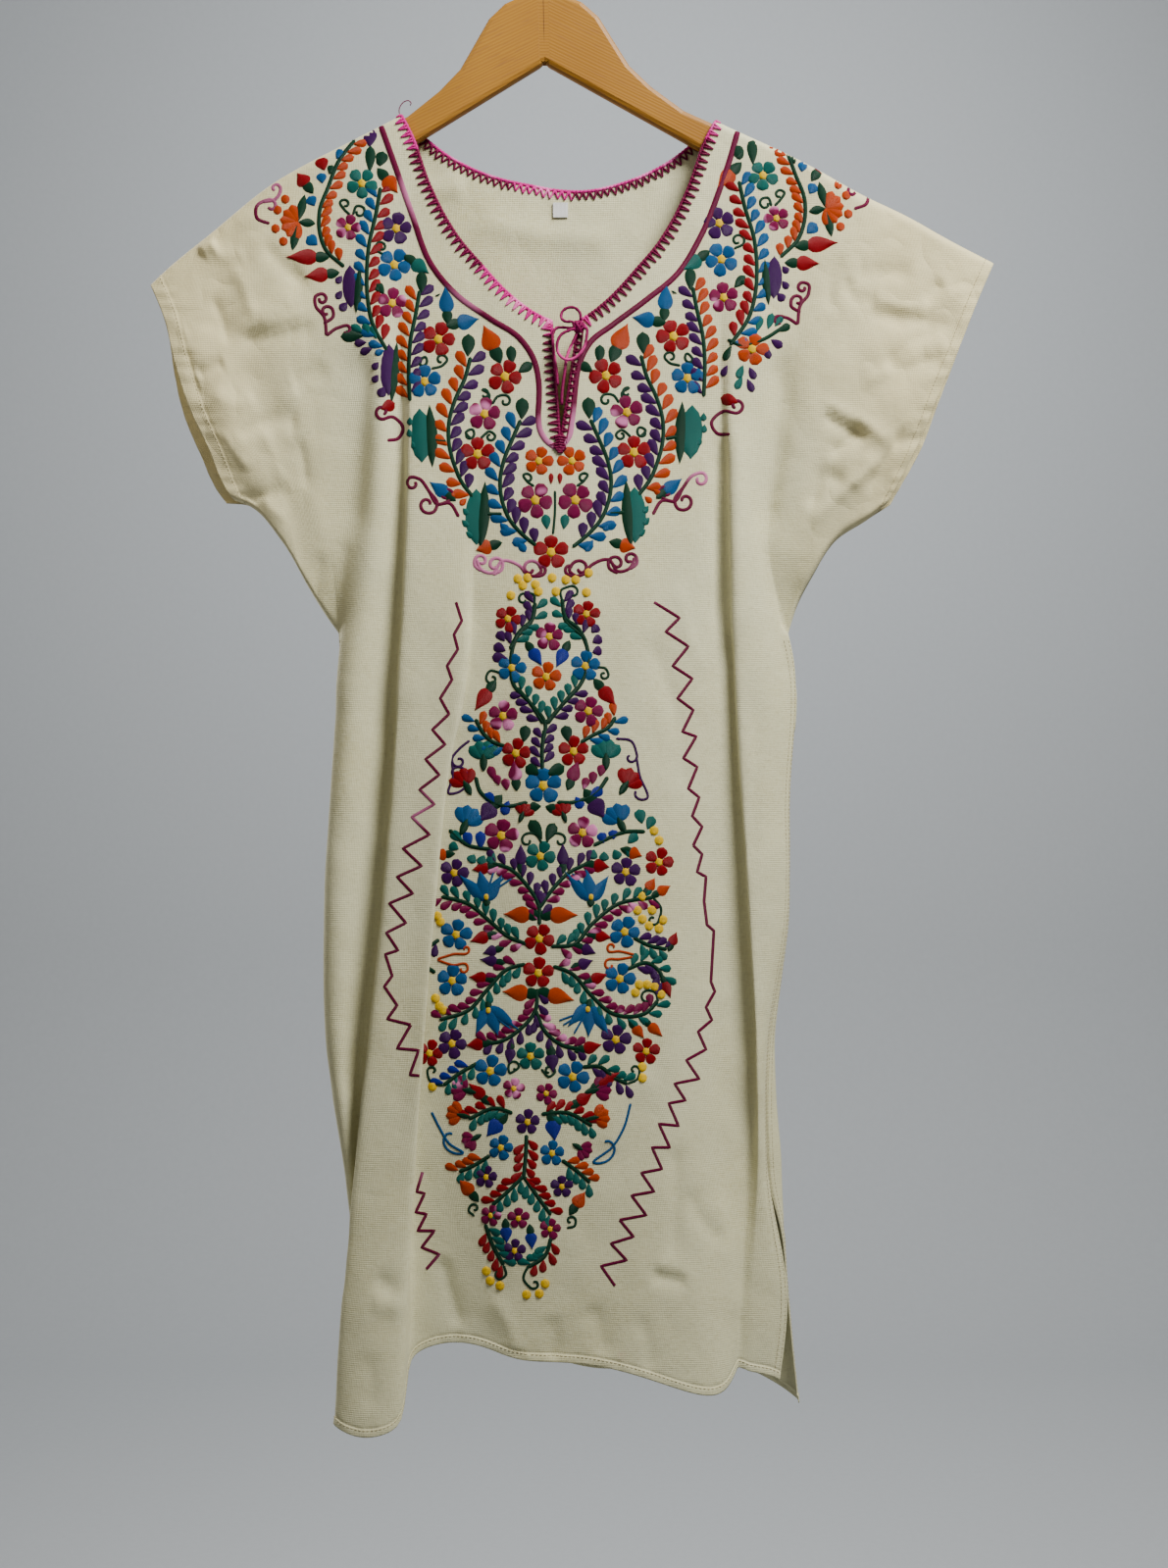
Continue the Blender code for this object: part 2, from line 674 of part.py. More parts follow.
    def thicken(self):
        """Adds the inner face and the rims. At a seam the wall's end is flat and faces the other panel."""
        self.mesh.normal_update()
        outer = list(self.mesh.verts)
        faces = list(self.mesh.faces)
        rims = [edge for edge in self.mesh.edges if edge.is_boundary]
        rim_loops = [(edge.link_loops[0].vert, edge.link_loops[0].link_loop_next.vert) for edge in rims]
        inner = {}
        for vertex in outer:
            normal = vertex.normal.copy()
            reach = WALL * min(vertex.calc_shell_factor(), WALL_MITRE)
            if vertex in self.seams:
                normal = Vector((normal.x, 0.0, normal.z)).normalized()
                reach = WALL
            inner[vertex] = vertex.co - normal * reach * MM
        twins = {vertex: self.mesh.verts.new(place) for vertex, place in inner.items()}
        for face in faces:
            self.mesh.faces.new([twins[vertex] for vertex in reversed(face.verts)])
        for start, end in rim_loops:
            self.mesh.faces.new([end, start, twins[start], twins[end]])

    def finish(self, collection, material):
        self.thicken()
        return mesh_object(self.name, self.mesh, collection, material)


def mesh_object(name, mesh, collection, material):
    data = bpy.data.meshes.new(name)
    mesh.to_mesh(data)
    mesh.free()
    built = bpy.data.objects.new(name, data)
    collection.objects.link(built)
    data.materials.append(material)
    data.shade_smooth()
    data.set_sharp_from_angle(angle=math.radians(50))
    return built


def new_material(name, colour, roughness, metallic):
    material = bpy.data.materials.new(name)
    material.use_nodes = True
    shader = material.node_tree.nodes["Principled BSDF"]
    shader.inputs["Base Color"].default_value = (*colour, 1.0)
    shader.inputs["Roughness"].default_value = roughness
    shader.inputs["Metallic"].default_value = metallic
    return material


def clear_scene():
    for item in list(bpy.data.objects):
        bpy.data.objects.remove(item, do_unlink=True)


def new_collection(name):
    collection = bpy.data.collections.new(name)
    bpy.context.scene.collection.children.link(collection)
    return collection


def build_panels():
    front = Panel(
        "front", -1, front_lines(), fine_front, NECK_FRONT, {-1: CUFF_LEFT, 1: CUFF_RIGHT}, True
    )
    back = Panel(
        "back", 1, back_lines(), fine_back, NECK_BACK, {-1: CUFF_LEFT_BACK, 1: CUFF_RIGHT_BACK}, False
    )
    for panel in (front, back):
        panel.body()
        panel.sleeve(-1, UNDERARM_LEFT)
        panel.sleeve(1, UNDERARM_RIGHT)
    return front, back


def refine(vertices, pitch, start):
    """Places and normals along an edge: its own vertices from a start on, and more between them."""
    rows = np.array([[*(vertex.co / MM), *vertex.normal] for vertex in vertices])
    lengths = lengths_along(rows[:, :3])
    kept = [start, *(length for length in lengths if length > start + 1)]
    places = [start]
    for low, high in zip(kept, kept[1:]):
        count = math.ceil((high - low) / pitch)
        places += [mix(low, high, (k + 1) / count) for k in range(count)]
    columns = np.array([np.interp(places, lengths, rows[:, axis]) for axis in range(6)]).T
    return [(Vector(row[:3]), Vector(row[3:]).normalized()) for row in columns]


def neck_columns(panel):
    """The columns from one neck point to the other."""
    inside = [k for k, column in enumerate(panel.grid) if abs(column[0][0] - NECK_MIDDLE) < NECK_HALF + 0.2]
    return range(inside[0], inside[-1] + 1)


def edging_paths(front, back):
    """The cloth's edge under each length of edging, with the side that the cloth lies on."""
    middle = front.middle
    below_corner = range(PLACKET_ROW - 1, len(EDGE_INSETS) - 2, -1)
    foot = front.vertices[(middle, PLACKET_ROW)]
    left = [foot, *(front.vertices[(middle, row)] for row in below_corner)]
    right = [foot, *(front.vertices[(middle, row, "right")] for row in below_corner)]
    columns = neck_columns(front)
    left += [front.vertices[(k, 0)] for k in range(middle, columns[0] - 1, -1)]
    right += [front.vertices[(middle, 0, "right")]]
    right += [front.vertices[(k, 0)] for k in range(middle + 1, columns[-1] + 1)]
    behind = [back.vertices[(k, 0)] for k in neck_columns(back)]
    return (
        ("neck_edging_left", front, refine(left, EDGING_PITCH, PLACKET_START), 1),
        ("neck_edging_right", front, refine(right, EDGING_PITCH, PLACKET_START), -1),
        ("neck_edging_back", back, refine(behind, EDGING_PITCH, 0.0), 1),
    )


def seam_frame(point):
    """At a neck point: the way along the shoulder seam and the way up from it."""
    side = 1 if point.x > NECK_MIDDLE else -1
    further = point.x + side * FLANGE_FRONT
    into = Vector((further - point.x, 0.0, -shoulder_drop(side, further) - point.z)).normalized()
    return into, Vector((-side * into.z, 0.0, side * into.x))


def edging_section(ahead, behind, gap):
    """The edging's outline: how far into the cloth, and how far out from the cloth's outer face."""
    over = gap + EDGING_THICK
    under = -WALL - EDGING_GAP - EDGING_THICK
    inner = -WALL - EDGING_GAP
    return (
        (ahead, over), (ahead / 2, over), (0.0, over), (-EDGING_BEAD, EDGING_GAP),
        (-EDGING_BEAD, inner), (0.0, under), (behind, under), (behind, inner), (-EDGING_GAP, inner),
        (-EDGING_GAP, gap), (ahead / 2, gap), (ahead, gap),
    )


def build_edging(name, panel, path, turn, tree, collection, material):
    """A ribbon that straddles the cloth's edge, each point found from the cloth and moved out."""
    mesh = bmesh.new()
    rings = []
    run = 0.0
    total = sum((b[0] - a[0]).length for a, b in zip(path, path[1:]))
    for k, (point, normal) in enumerate(path):
        before, after = path[max(k - 1, 0)][0], path[min(k + 1, len(path) - 1)][0]
        run += (point - before).length
        to_seam = min(run if panel.facing > 0 else total, total - run)
        on_seam = to_seam < 0.5
        along = (after - before).normalized()
        into = (normal.cross(along) * turn).normalized()
        if on_seam:
            into, normal = seam_frame(point)
        taper = ease(to_seam / FLANGE_TAPER)
        ahead = mix(FLANGE_FRONT_SHOULDER, FLANGE_FRONT, taper)
        behind = mix(FLANGE_BEHIND_SHOULDER, FLANGE_BEHIND, taper)
        gap = mix(EDGING_GAP_SHOULDER, EDGING_GAP, taper)
        ring = []
        for inset, lift in edging_section(ahead, behind, gap):
            place, out = point + into * inset, normal
            if inset > 0.5 and not on_seam:
                found, found_normal = tree.find_nearest(place * MM)[:2]
                place, out = found / MM, found_normal
            ring.append(mesh.verts.new((place + out * lift) * MM))
        rings.append(ring)
    for ring, following in zip(rings, rings[1:]):
        for k in range(len(ring)):
            j = (k + 1) % len(ring)
            mesh.faces.new((ring[k], ring[j], following[j], following[k]))
    mesh.faces.new(rings[0][::-1])
    mesh.faces.new(rings[-1])
    bmesh.ops.recalc_face_normals(mesh, faces=mesh.faces)
    return mesh_object(name, mesh, collection, material)


def build_placket_bar(tree, collection, material):
    """The solid crochet that closes the foot of the placket, on the outside of the front."""
    middle = FRONT_MIDDLE[[line.name for line in FRONT_MIDDLE].index("middle")]
    foot = PLACKET_BOTTOM + BAR_FOOT
    tall = BAR_FOOT + PLACKET_START - EDGING_GAP
    mesh = bmesh.new()
    layers = []
    for lift in (EDGING_GAP, EDGING_GAP + BAR_THICK):
        layer = []
        for k in range(BAR_CELLS + 1):
            drop = foot - tall * k / BAR_CELLS
            half = BAR_HALF if k else BAR_FOOT_HALF
            across = smooth_through(STATIONS, middle.across, drop)
            depth = smooth_through(STATIONS, middle.depth, drop)
            row = []
            for j in range(BAR_CELLS + 1):
                place = Vector((across + half * (2 * j / BAR_CELLS - 1), depth, -drop)) * MM
                place.y = tree.find_nearest(place)[0].y - lift * MM
                row.append(mesh.verts.new(place))
            layer.append(row)
        layers.append(layer)
    rims = []
    for layer in layers:
        for low, high in zip(layer, layer[1:]):
            for j in range(BAR_CELLS):
                mesh.faces.new((low[j], low[j + 1], high[j + 1], high[j]))
        right_side = [row[-1] for row in layer[1:]]
        left_side = [row[0] for row in layer[-2:0:-1]]
        rims.append(layer[0] + right_side + layer[-1][-2::-1] + left_side)
    for k in range(len(rims[0])):
        mesh.faces.new((rims[0][k - 1], rims[0][k], rims[1][k], rims[1][k - 1]))
    bmesh.ops.recalc_face_normals(mesh, faces=mesh.faces)
    return mesh_object("placket_bar", mesh, collection, material)


def build_tag(tree, collection, material):
    """A blank tag on the inside of the back, just below the neck edging."""
    mesh = bmesh.new()
    depths = []
    for across in (TAG_ACROSS - TAG_SIZE / 2, TAG_ACROSS, TAG_ACROSS + TAG_SIZE / 2):
        for drop in (TAG_DROP - TAG_SIZE / 2, TAG_DROP + TAG_SIZE / 2):
            start = Vector((across, 0.0, -drop)) * MM
            depths.append(tree.ray_cast(start, Vector((0.0, 1.0, 0.0)))[0].y / MM)
    middle = min(depths) - WALL * WALL_MITRE - EDGING_GAP - TAG_THICK / 2
    place = Matrix.Translation(Vector((TAG_ACROSS, middle, -TAG_DROP)) * MM)
    size = Matrix.Diagonal(Vector((TAG_SIZE * MM, TAG_THICK * MM, TAG_SIZE * MM, 1.0)))
    bmesh.ops.create_cube(mesh, size=1.0, matrix=place @ size)
    return mesh_object("neck_tag", mesh, collection, material)


def build_hanger(collection, wood):
    """Two shaped halves that meet at a joint up the middle."""
    for name, side in (("hanger_left", -1), ("hanger_right", 1)):
        outline = [*HANGER_TOP, *HANGER_END, *HANGER_BELOW]
        curve = bpy.data.curves.new(name, "CURVE")
        curve.dimensions = "2D"
        curve.fill_mode = "BOTH"
        curve.extrude = HANGER_THICK / 2 * MM
        spline = curve.splines.new("POLY")
        spline.use_cyclic_u = True
        spline.points.add(len(outline) - 1)
        for point, edge in zip(spline.points, outline):
            across, drop = lean(side * max(edge.out, HANGER_JOINT / 2), edge.drop)
            point.co = (across * MM, -drop * MM, 0.0, 1.0)
        holder = bpy.data.objects.new(name + "_outline", curve)
        bpy.context.scene.collection.objects.link(holder)
        holder.rotation_euler = (math.radians(90), 0.0, 0.0)
        bpy.context.view_layer.update()
        evaluated = holder.evaluated_get(bpy.context.evaluated_depsgraph_get())
        data = bpy.data.meshes.new_from_object(evaluated)
        plate = bmesh.new()
        plate.from_mesh(data)
        bmesh.ops.remove_doubles(plate, verts=plate.verts, dist=0.00001)
        bmesh.ops.dissolve_limit(plate, angle_limit=0.001, verts=plate.verts, edges=plate.edges)
        bmesh.ops.recalc_face_normals(plate, faces=plate.faces)
        plate.to_mesh(data)
        plate.free()
        arm = bpy.data.objects.new(name, data)
        arm.matrix_world = holder.matrix_world.copy()
        collection.objects.link(arm)
        bpy.data.objects.remove(holder, do_unlink=True)
        data.materials.clear()
        data.materials.append(wood)
        bevel = arm.modifiers.new("round edges", "BEVEL")
        bevel.width = HANGER_BEVEL * MM
        bevel.segments = 2
        bevel.limit_method = "ANGLE"
        bevel.angle_limit = math.radians(50)


def build_tube(name, points, diameter, collection, material, resolution):
    """A round wire or cord through points of across, depth and height."""
    curve = bpy.data.curves.new(name, "CURVE")
    curve.dimensions = "3D"
    curve.bevel_depth = diameter / 2 * MM
    curve.bevel_resolution = resolution
    curve.use_fill_caps = True
    spline = curve.splines.new("POLY")
    spline.points.add(len(points) - 1)
    for target, point in zip(spline.points, points):
        target.co = (point[0] * MM, point[1] * MM, point[2] * MM, 1.0)
    tube = bpy.data.objects.new(name, curve)
    collection.objects.link(tube)
    curve.materials.append(material)
    return tube


def build_hook(collection, steel):
    """The shank stands on the wood's joint, and the crook's inside top is at the origin."""
    radius = HOOK_CROOK + HOOK_WIRE / 2
    foot = -(HANGER_TOP[0].drop + HOOK_SUNK)
    points = [(0.0, 0.0, foot)]
    for k in range(HOOK_STEPS + 1):
        angle = -math.pi / 2 - k / HOOK_STEPS * HOOK_TURNS * math.tau
        points.append((radius * math.cos(angle), 0.0, -HOOK_CROOK + radius * math.sin(angle)))
    return build_tube("hanger_hook", points, HOOK_WIRE, collection, steel, 3)


def cord_points(route):
    """Points evenly along the smooth curve through a cord's route."""
    route = np.asarray(route, float)
    count = max(4, round(lengths_along(route)[-1] / CORD_STEP))
    places = [along_points(route, k / count) for k in range(count + 1)]
    return [(place[0], place[1], -place[2]) for place in places]


def build_tie(collection, crochet):
    mesh = bmesh.new()
    size = Matrix.Diagonal(Vector((KNOT.wide * MM, KNOT.deep * MM, KNOT.tall * MM, 1.0)))
    place = Matrix.Translation(Vector((KNOT.across, KNOT.depth, -KNOT.drop)) * MM)
    bmesh.ops.create_uvsphere(mesh, u_segments=12, v_segments=8, radius=1.0, matrix=place @ size)
    mesh_object("tie_knot", mesh, collection, crochet)
    for cord in CORDS:
        build_tube(cord.name, cord_points(cord.route), CORD_DIAMETER, collection, crochet, 2)


def main():
    clear_scene()
    collection = new_collection("embroidered_tunic_dress")
    cotton = new_material("unbleached_cotton", (0.80, 0.75, 0.62), 0.9, 0.0)
    crochet = new_material("magenta_crochet", (0.45, 0.02, 0.17), 0.6, 0.0)
    white = new_material("white_tag", (0.85, 0.85, 0.84), 0.7, 0.0)
    wood = new_material("hanger_wood", (0.55, 0.33, 0.13), 0.5, 0.0)
    steel = new_material("hook_steel", (0.6, 0.6, 0.6), 0.3, 1.0)
    front, back = build_panels()
    trees = {panel.name: panel.outer_tree() for panel in (front, back)}
    for name, panel, path, turn in edging_paths(front, back):
        build_edging(name, panel, path, turn, trees[panel.name], collection, crochet)
    build_placket_bar(trees["front"], collection, crochet)
    build_tag(trees["back"], collection, white)
    front.finish(collection, cotton)
    back.finish(collection, cotton)
    build_hanger(collection, wood)
    build_hook(collection, steel)
    build_tie(collection, crochet)


main()
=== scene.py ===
"""The looks of an embroidered cotton tunic dress on a wooden hanger.

The cloth is drawn again, finer, from the same tables of lines as the solids: millimetres across to
the right of the hook, depth behind it and drop below it. Creases and embroidery are placed by pixels
of the photograph's 1191 x 1599 frame, looked up on the cloth through the camera.
"""

import math
from collections import namedtuple

import bmesh
import bpy
import numpy as np
from mathutils import Vector, noise
from mathutils.bvhtree import BVHTree
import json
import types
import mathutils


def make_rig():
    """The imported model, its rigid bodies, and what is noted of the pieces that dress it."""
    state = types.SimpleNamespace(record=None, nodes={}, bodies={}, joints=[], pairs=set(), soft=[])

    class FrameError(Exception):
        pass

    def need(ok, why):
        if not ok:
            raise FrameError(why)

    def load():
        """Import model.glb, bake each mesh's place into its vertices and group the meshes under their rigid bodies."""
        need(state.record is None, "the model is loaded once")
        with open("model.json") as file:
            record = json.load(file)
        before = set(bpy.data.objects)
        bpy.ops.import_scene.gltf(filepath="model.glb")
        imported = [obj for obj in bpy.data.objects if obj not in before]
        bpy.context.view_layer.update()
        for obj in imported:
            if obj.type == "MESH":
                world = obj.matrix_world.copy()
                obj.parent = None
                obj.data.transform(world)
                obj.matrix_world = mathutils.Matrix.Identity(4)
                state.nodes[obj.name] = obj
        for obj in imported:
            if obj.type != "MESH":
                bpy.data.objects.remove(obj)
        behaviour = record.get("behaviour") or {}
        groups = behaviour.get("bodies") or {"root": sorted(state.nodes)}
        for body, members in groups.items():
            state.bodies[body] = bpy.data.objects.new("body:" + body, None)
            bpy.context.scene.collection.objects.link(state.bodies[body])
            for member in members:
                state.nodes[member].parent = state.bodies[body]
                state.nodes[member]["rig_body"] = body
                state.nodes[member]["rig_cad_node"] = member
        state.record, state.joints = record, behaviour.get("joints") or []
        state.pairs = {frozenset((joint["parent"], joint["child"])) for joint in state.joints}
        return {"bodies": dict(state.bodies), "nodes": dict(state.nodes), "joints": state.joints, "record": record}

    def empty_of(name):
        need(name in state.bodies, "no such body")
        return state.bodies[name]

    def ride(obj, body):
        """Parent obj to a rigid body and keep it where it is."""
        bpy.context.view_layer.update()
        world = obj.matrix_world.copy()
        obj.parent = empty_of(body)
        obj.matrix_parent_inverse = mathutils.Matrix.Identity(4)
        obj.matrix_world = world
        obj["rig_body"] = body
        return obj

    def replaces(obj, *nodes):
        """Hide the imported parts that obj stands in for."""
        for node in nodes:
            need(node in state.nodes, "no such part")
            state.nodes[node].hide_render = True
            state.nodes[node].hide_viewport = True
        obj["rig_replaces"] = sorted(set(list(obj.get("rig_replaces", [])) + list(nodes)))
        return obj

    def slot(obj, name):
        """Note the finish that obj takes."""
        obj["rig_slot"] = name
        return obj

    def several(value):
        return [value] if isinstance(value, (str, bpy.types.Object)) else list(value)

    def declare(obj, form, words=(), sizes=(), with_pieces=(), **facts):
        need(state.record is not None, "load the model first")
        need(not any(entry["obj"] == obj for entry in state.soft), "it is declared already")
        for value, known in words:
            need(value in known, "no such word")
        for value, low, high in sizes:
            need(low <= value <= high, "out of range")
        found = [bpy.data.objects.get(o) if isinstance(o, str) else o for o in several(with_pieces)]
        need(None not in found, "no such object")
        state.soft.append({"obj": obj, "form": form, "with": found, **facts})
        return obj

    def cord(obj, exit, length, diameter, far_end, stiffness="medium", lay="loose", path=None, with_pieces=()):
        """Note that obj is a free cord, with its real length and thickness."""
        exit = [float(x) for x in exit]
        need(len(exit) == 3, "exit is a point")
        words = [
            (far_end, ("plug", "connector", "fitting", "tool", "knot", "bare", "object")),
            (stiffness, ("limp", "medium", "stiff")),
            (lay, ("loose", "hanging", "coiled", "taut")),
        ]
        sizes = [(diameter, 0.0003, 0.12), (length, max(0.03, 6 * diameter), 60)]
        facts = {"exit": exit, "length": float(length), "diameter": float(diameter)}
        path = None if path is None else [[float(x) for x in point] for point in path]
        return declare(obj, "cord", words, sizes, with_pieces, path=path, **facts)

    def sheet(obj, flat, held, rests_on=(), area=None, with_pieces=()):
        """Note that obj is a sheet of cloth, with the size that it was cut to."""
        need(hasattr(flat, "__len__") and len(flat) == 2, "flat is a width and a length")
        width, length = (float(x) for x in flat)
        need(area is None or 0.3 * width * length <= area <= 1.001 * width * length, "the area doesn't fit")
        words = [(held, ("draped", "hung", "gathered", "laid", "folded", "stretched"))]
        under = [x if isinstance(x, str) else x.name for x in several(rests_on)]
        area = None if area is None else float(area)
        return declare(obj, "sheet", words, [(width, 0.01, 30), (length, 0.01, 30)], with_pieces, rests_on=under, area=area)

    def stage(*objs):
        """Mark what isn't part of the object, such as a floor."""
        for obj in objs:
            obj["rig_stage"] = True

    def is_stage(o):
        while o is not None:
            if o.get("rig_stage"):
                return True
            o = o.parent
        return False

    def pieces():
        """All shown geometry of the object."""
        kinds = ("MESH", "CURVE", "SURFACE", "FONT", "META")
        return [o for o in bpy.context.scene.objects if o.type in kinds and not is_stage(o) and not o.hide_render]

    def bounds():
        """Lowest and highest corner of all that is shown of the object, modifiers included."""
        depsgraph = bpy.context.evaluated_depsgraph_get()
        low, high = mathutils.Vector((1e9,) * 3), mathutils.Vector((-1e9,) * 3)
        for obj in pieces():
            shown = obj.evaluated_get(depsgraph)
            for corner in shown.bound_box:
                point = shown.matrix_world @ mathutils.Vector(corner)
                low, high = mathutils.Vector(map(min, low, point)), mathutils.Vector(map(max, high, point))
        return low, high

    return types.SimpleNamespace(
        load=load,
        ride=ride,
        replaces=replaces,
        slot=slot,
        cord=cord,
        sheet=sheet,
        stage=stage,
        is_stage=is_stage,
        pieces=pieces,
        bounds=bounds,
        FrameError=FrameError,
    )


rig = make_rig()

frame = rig.load()
CAD_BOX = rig.bounds()

MM = 0.001
PHOTO_TALL = 1599
MM_PER_PIXEL = 0.78
CAMERA_ACROSS, CAMERA_DROP, CAMERA_AWAY = 34.0, 691.0, 1620.0
PLANE_AWAY = 1600.0
SENSOR = 36.0
PIXEL_AT_ORIGIN = (552.0, -86.54)

STATIONS = (160, 300, 400, 500, 600, 700, 800, 900, 1000, 1100, 1200)
UNDERARM_DROP = 570
SLIT_TOP_DROP = 1008
SLIT_BLEND = 70
SHOULDER_ROUND = 6.5
SEAM_GAP = 0.15
NECK_MIDDLE = 13.5
NECK_HALF = 127.0
NECK_ROUNDED = 88.0
PLACKET_OPEN = 12.5
PLACKET_REACH = 45.0
PLACKET_SHARE = 0.38
CLOTH_THICK = 0.9

HANGER_LEAN = math.radians(1.2)
ARM = ((111, 152), (155, 173), (198, 193.5), (213, 201))
SHOULDER_LIFTS = (3.7, 2.1)
NECK_FRONT = (
    (127, 0), (115, 25), (107, 49), (97, 72), (82, 98), (63, 121), (42, 144), (22, 160), (6, 168), (0, 168),
)
NECK_BACK = ((127, 0), (110, 14), (92, 28), (70, 40), (48, 48), (25, 53), (0, 55))

CORD_DIAMETER = 2.6
CORD_STEP = 2.0
KNOT = (29.5, -18.9, 327.0)
CORDS = {
    "ring": (
        (31.4, -18.8, 321.9), (30.8, -18.6, 316.0), (26.5, -18.4, 311.8), (21.0, -18.3, 311.8),
        (16.6, -18.4, 315.2), (16.0, -18.8, 320.2), (19.6, -19.6, 323.2), (24.0, -20.1, 323.2),
    ),
    "loop": (
        (35.6, -19.4, 328.4), (36.0, -21.2, 336.0), (33.4, -23.2, 345.6), (27.6, -24.4, 352.6),
        (20.0, -25.0, 354.6), (14.0, -24.8, 350.0), (12.6, -24.2, 342.4), (15.6, -23.4, 334.6),
        (22.4, -22.3, 330.6),
    ),
    "tail_right": (
        (28.1, -18.9, 332.4), (25.6, -19.8, 338.6), (22.2, -20.8, 346.0), (20.0, -21.4, 353.0),
        (19.0, -22.0, 361.0), (17.8, -22.8, 370.0), (16.6, -23.6, 380.0), (16.2, -24.4, 390.0),
    ),
    "tail_left": (
        (24.0, -17.9, 328.0), (18.0, -17.0, 327.2), (12.0, -16.8, 327.6), (9.0, -17.2, 332.6),
        (9.4, -18.2, 341.0), (10.6, -19.2, 352.0), (12.2, -20.4, 363.0), (13.0, -21.8, 374.0),
    ),
}

Line = namedtuple("Line", "across depth hem")

# Front: seams, ridges and valleys, and the folds' edges with the tuck beneath them
LEFT_SEAM = Line(
    (-199, -191, -181, -169, -162, -164, -168, -166, -150, -152, -156),
    (-9, -10, -11, -9, 0, 0, 0, 0, 0, -1, -2), 1190,
)
FRONT_LEFT = (
    Line(
        (-176, -169, -163, -158, -162, -165, -169, -167, -151, -153, -157),
        (-9, -10, -10, -9, -6, -5, -5, -5, -5, -6, -7), 1190,
    ),
    Line(
        (-160, -150, -149, -152, -164, -173, -178, -176, -158, -151, -153),
        (-9, -11, -11, -13, -14, -15, -15, -15, -14, -12, -13), 1190,
    ),
    Line(
        (-140, -131, -129, -134, -147, -156, -161, -160, -152, -146, -148),
        (-9, -14, -22, -25, -27, -29, -30, -29, -24, -17, -17), 1190,
    ),
    Line(
        (-124, -120, -117, -117, -124, -130, -137, -147, -146, -142, -144),
        (-9, -11, -12, -12, -12, -12, -12, -12, -13, -15, -15), 1190,
    ),
)
FOLD_LEFT = (
    (-104, -105, -106, -108, -114, -120, -127, -138, -148, -158, -164),
    (-10, -8, -4, 0, 2, 3, 4, 5, 8, 15, 17),
    (-9, -11, -19, -26, -30, -33, -35, -37, -38, -40, -42),
    (-9, -10, -11, -11, -11, -11, -12, -13, -15, -18, -18),
    1194, 1190,
)
FRONT_PANEL = Line(
    (-90, -87, -87, -87, -89, -95, -101, -108, -118, -132, -140),
    (-9, -11, -18, -25, -29, -33, -36, -38, -41, -48, -52), 1204,
)
FOLD_ZIGZAG = (
    (-60, -60, -60, -60, -59, -74, -83, -91, -98, -104, -109),
    (-9, -9, -8, -6, 0, 9, 13, 13, 6, 0, -2),
    (-9, -12, -18, -24, -31, -38, -42, -44, -44, -47, -50),
    (-9, -12, -17, -22, -24, -25, -26, -27, -25, -22, -19),
    1196, 1142,
)
FRONT_MIDDLE = (
    Line(
        (-44, -44, -43, -40, -38, -44, -49, -53, -58, -66, -70),
        (-9, -12, -17, -23, -27, -29, -30, -31, -29, -24, -20), 1131,
    ),
    Line(
        (-18, -18, -18, -16, -16, -18, -21, -25, -30, -36, -38),
        (-9, -13, -18, -25, -31, -34, -35, -36, -35, -32, -29), 1138,
    ),
    Line(
        (22, 21, 16, 10, 6, 1, -1, -7, -13, -16, -16),
        (-9, -12, -18, -26, -33, -36, -37, -38, -38, -37, -35), 1147,
    ),
    Line(
        (50, 50, 49, 47, 45, 44, 43, 41, 38, 37, 36),
        (-9, -12, -18, -25, -31, -35, -37, -38, -39, -38, -36), 1145,
    ),
    Line(
        (88, 88, 89, 90, 92, 92, 93, 92, 90, 88, 86),
        (-9, -12, -16, -21, -27, -31, -34, -36, -38, -41, -44), 1158,
    ),
    Line(
        (120, 120, 124, 126, 128, 128, 128, 128, 128, 128, 127),
        (-9, -11, -14, -17, -19, -21, -23, -25, -31, -40, -48), 1172,
    ),
    Line(
        (135, 133, 134, 138, 141, 142, 143, 146, 148, 147, 146),
        (-9, -11, -12, -13, -13, -13, -13, -14, -20, -32, -42), 1170,
    ),
)
FOLD_RIGHT = (
    (158, 152, 149, 150, 153, 158, 164, 170, 171, 165, 162),
    (-10, -7, -3, 0, 2, 3, 4, 4, -4, -6, -8),
    (-9, -11, -17, -21, -23, -25, -27, -27, -22, -22, -24),
    (-9, -10, -10, -10, -10, -10, -10, -11, -13, -19, -23),
    1157, 1153,
)
FRONT_RIGHT = (
    Line(
        (184, 173, 168, 166, 177, 177, 179, 176, 176, 180, 177),
        (-9, -11, -14, -18, -20, -22, -23, -23, -21, -21, -22), 1160,
    ),
    Line(
        (203, 193, 184, 177, 200, 197, 195, 180, 180, 190, 182),
        (-9, -9, -10, -9, -7, -10, -12, -15, -17, -18, -19), 1163,
    ),
)
RIGHT_SEAM = Line(
    (216, 208, 196, 182, 204, 199, 197, 182, 181, 196, 185),
    (-9, -9, -10, -8, 0, -4, -6, -9, -12, -15, -17), 1166,
)

# Back: across at the top and hem, depth at the top, middle and hem, and the hem's drop
BACK_LINES = (
    (-160, -152, 9, 14, 18, 1158), (-118, -112, 9, 10, 10, 1146), (-80, -74, 9, 19, 25, 1142),
    (-38, -38, 9, 12, 13, 1146), (8, 0, 9, 20, 27, 1158), (52, 42, 9, 13, 14, 1168),
    (92, 84, 9, 21, 26, 1168), (134, 124, 9, 12, 13, 1158), (172, 166, 9, 17, 20, 1163),
)
BACK_LEFT_SIDE = Line(
    (-176, -170, -166, -162, -162, -165, -169, -167, -151, -155, -158),
    (9, 9, 9, 8, 6, 7, 7, 7, 7, 7, 7), 1172,
)
BACK_RIGHT_SIDE = Line(
    (203, 194, 184, 176, 202, 201, 202, 193, 197, 200, 208),
    (9, 9, 9, 8, 6, 6, 5, 4, 3, 1, -1), 1184,
)
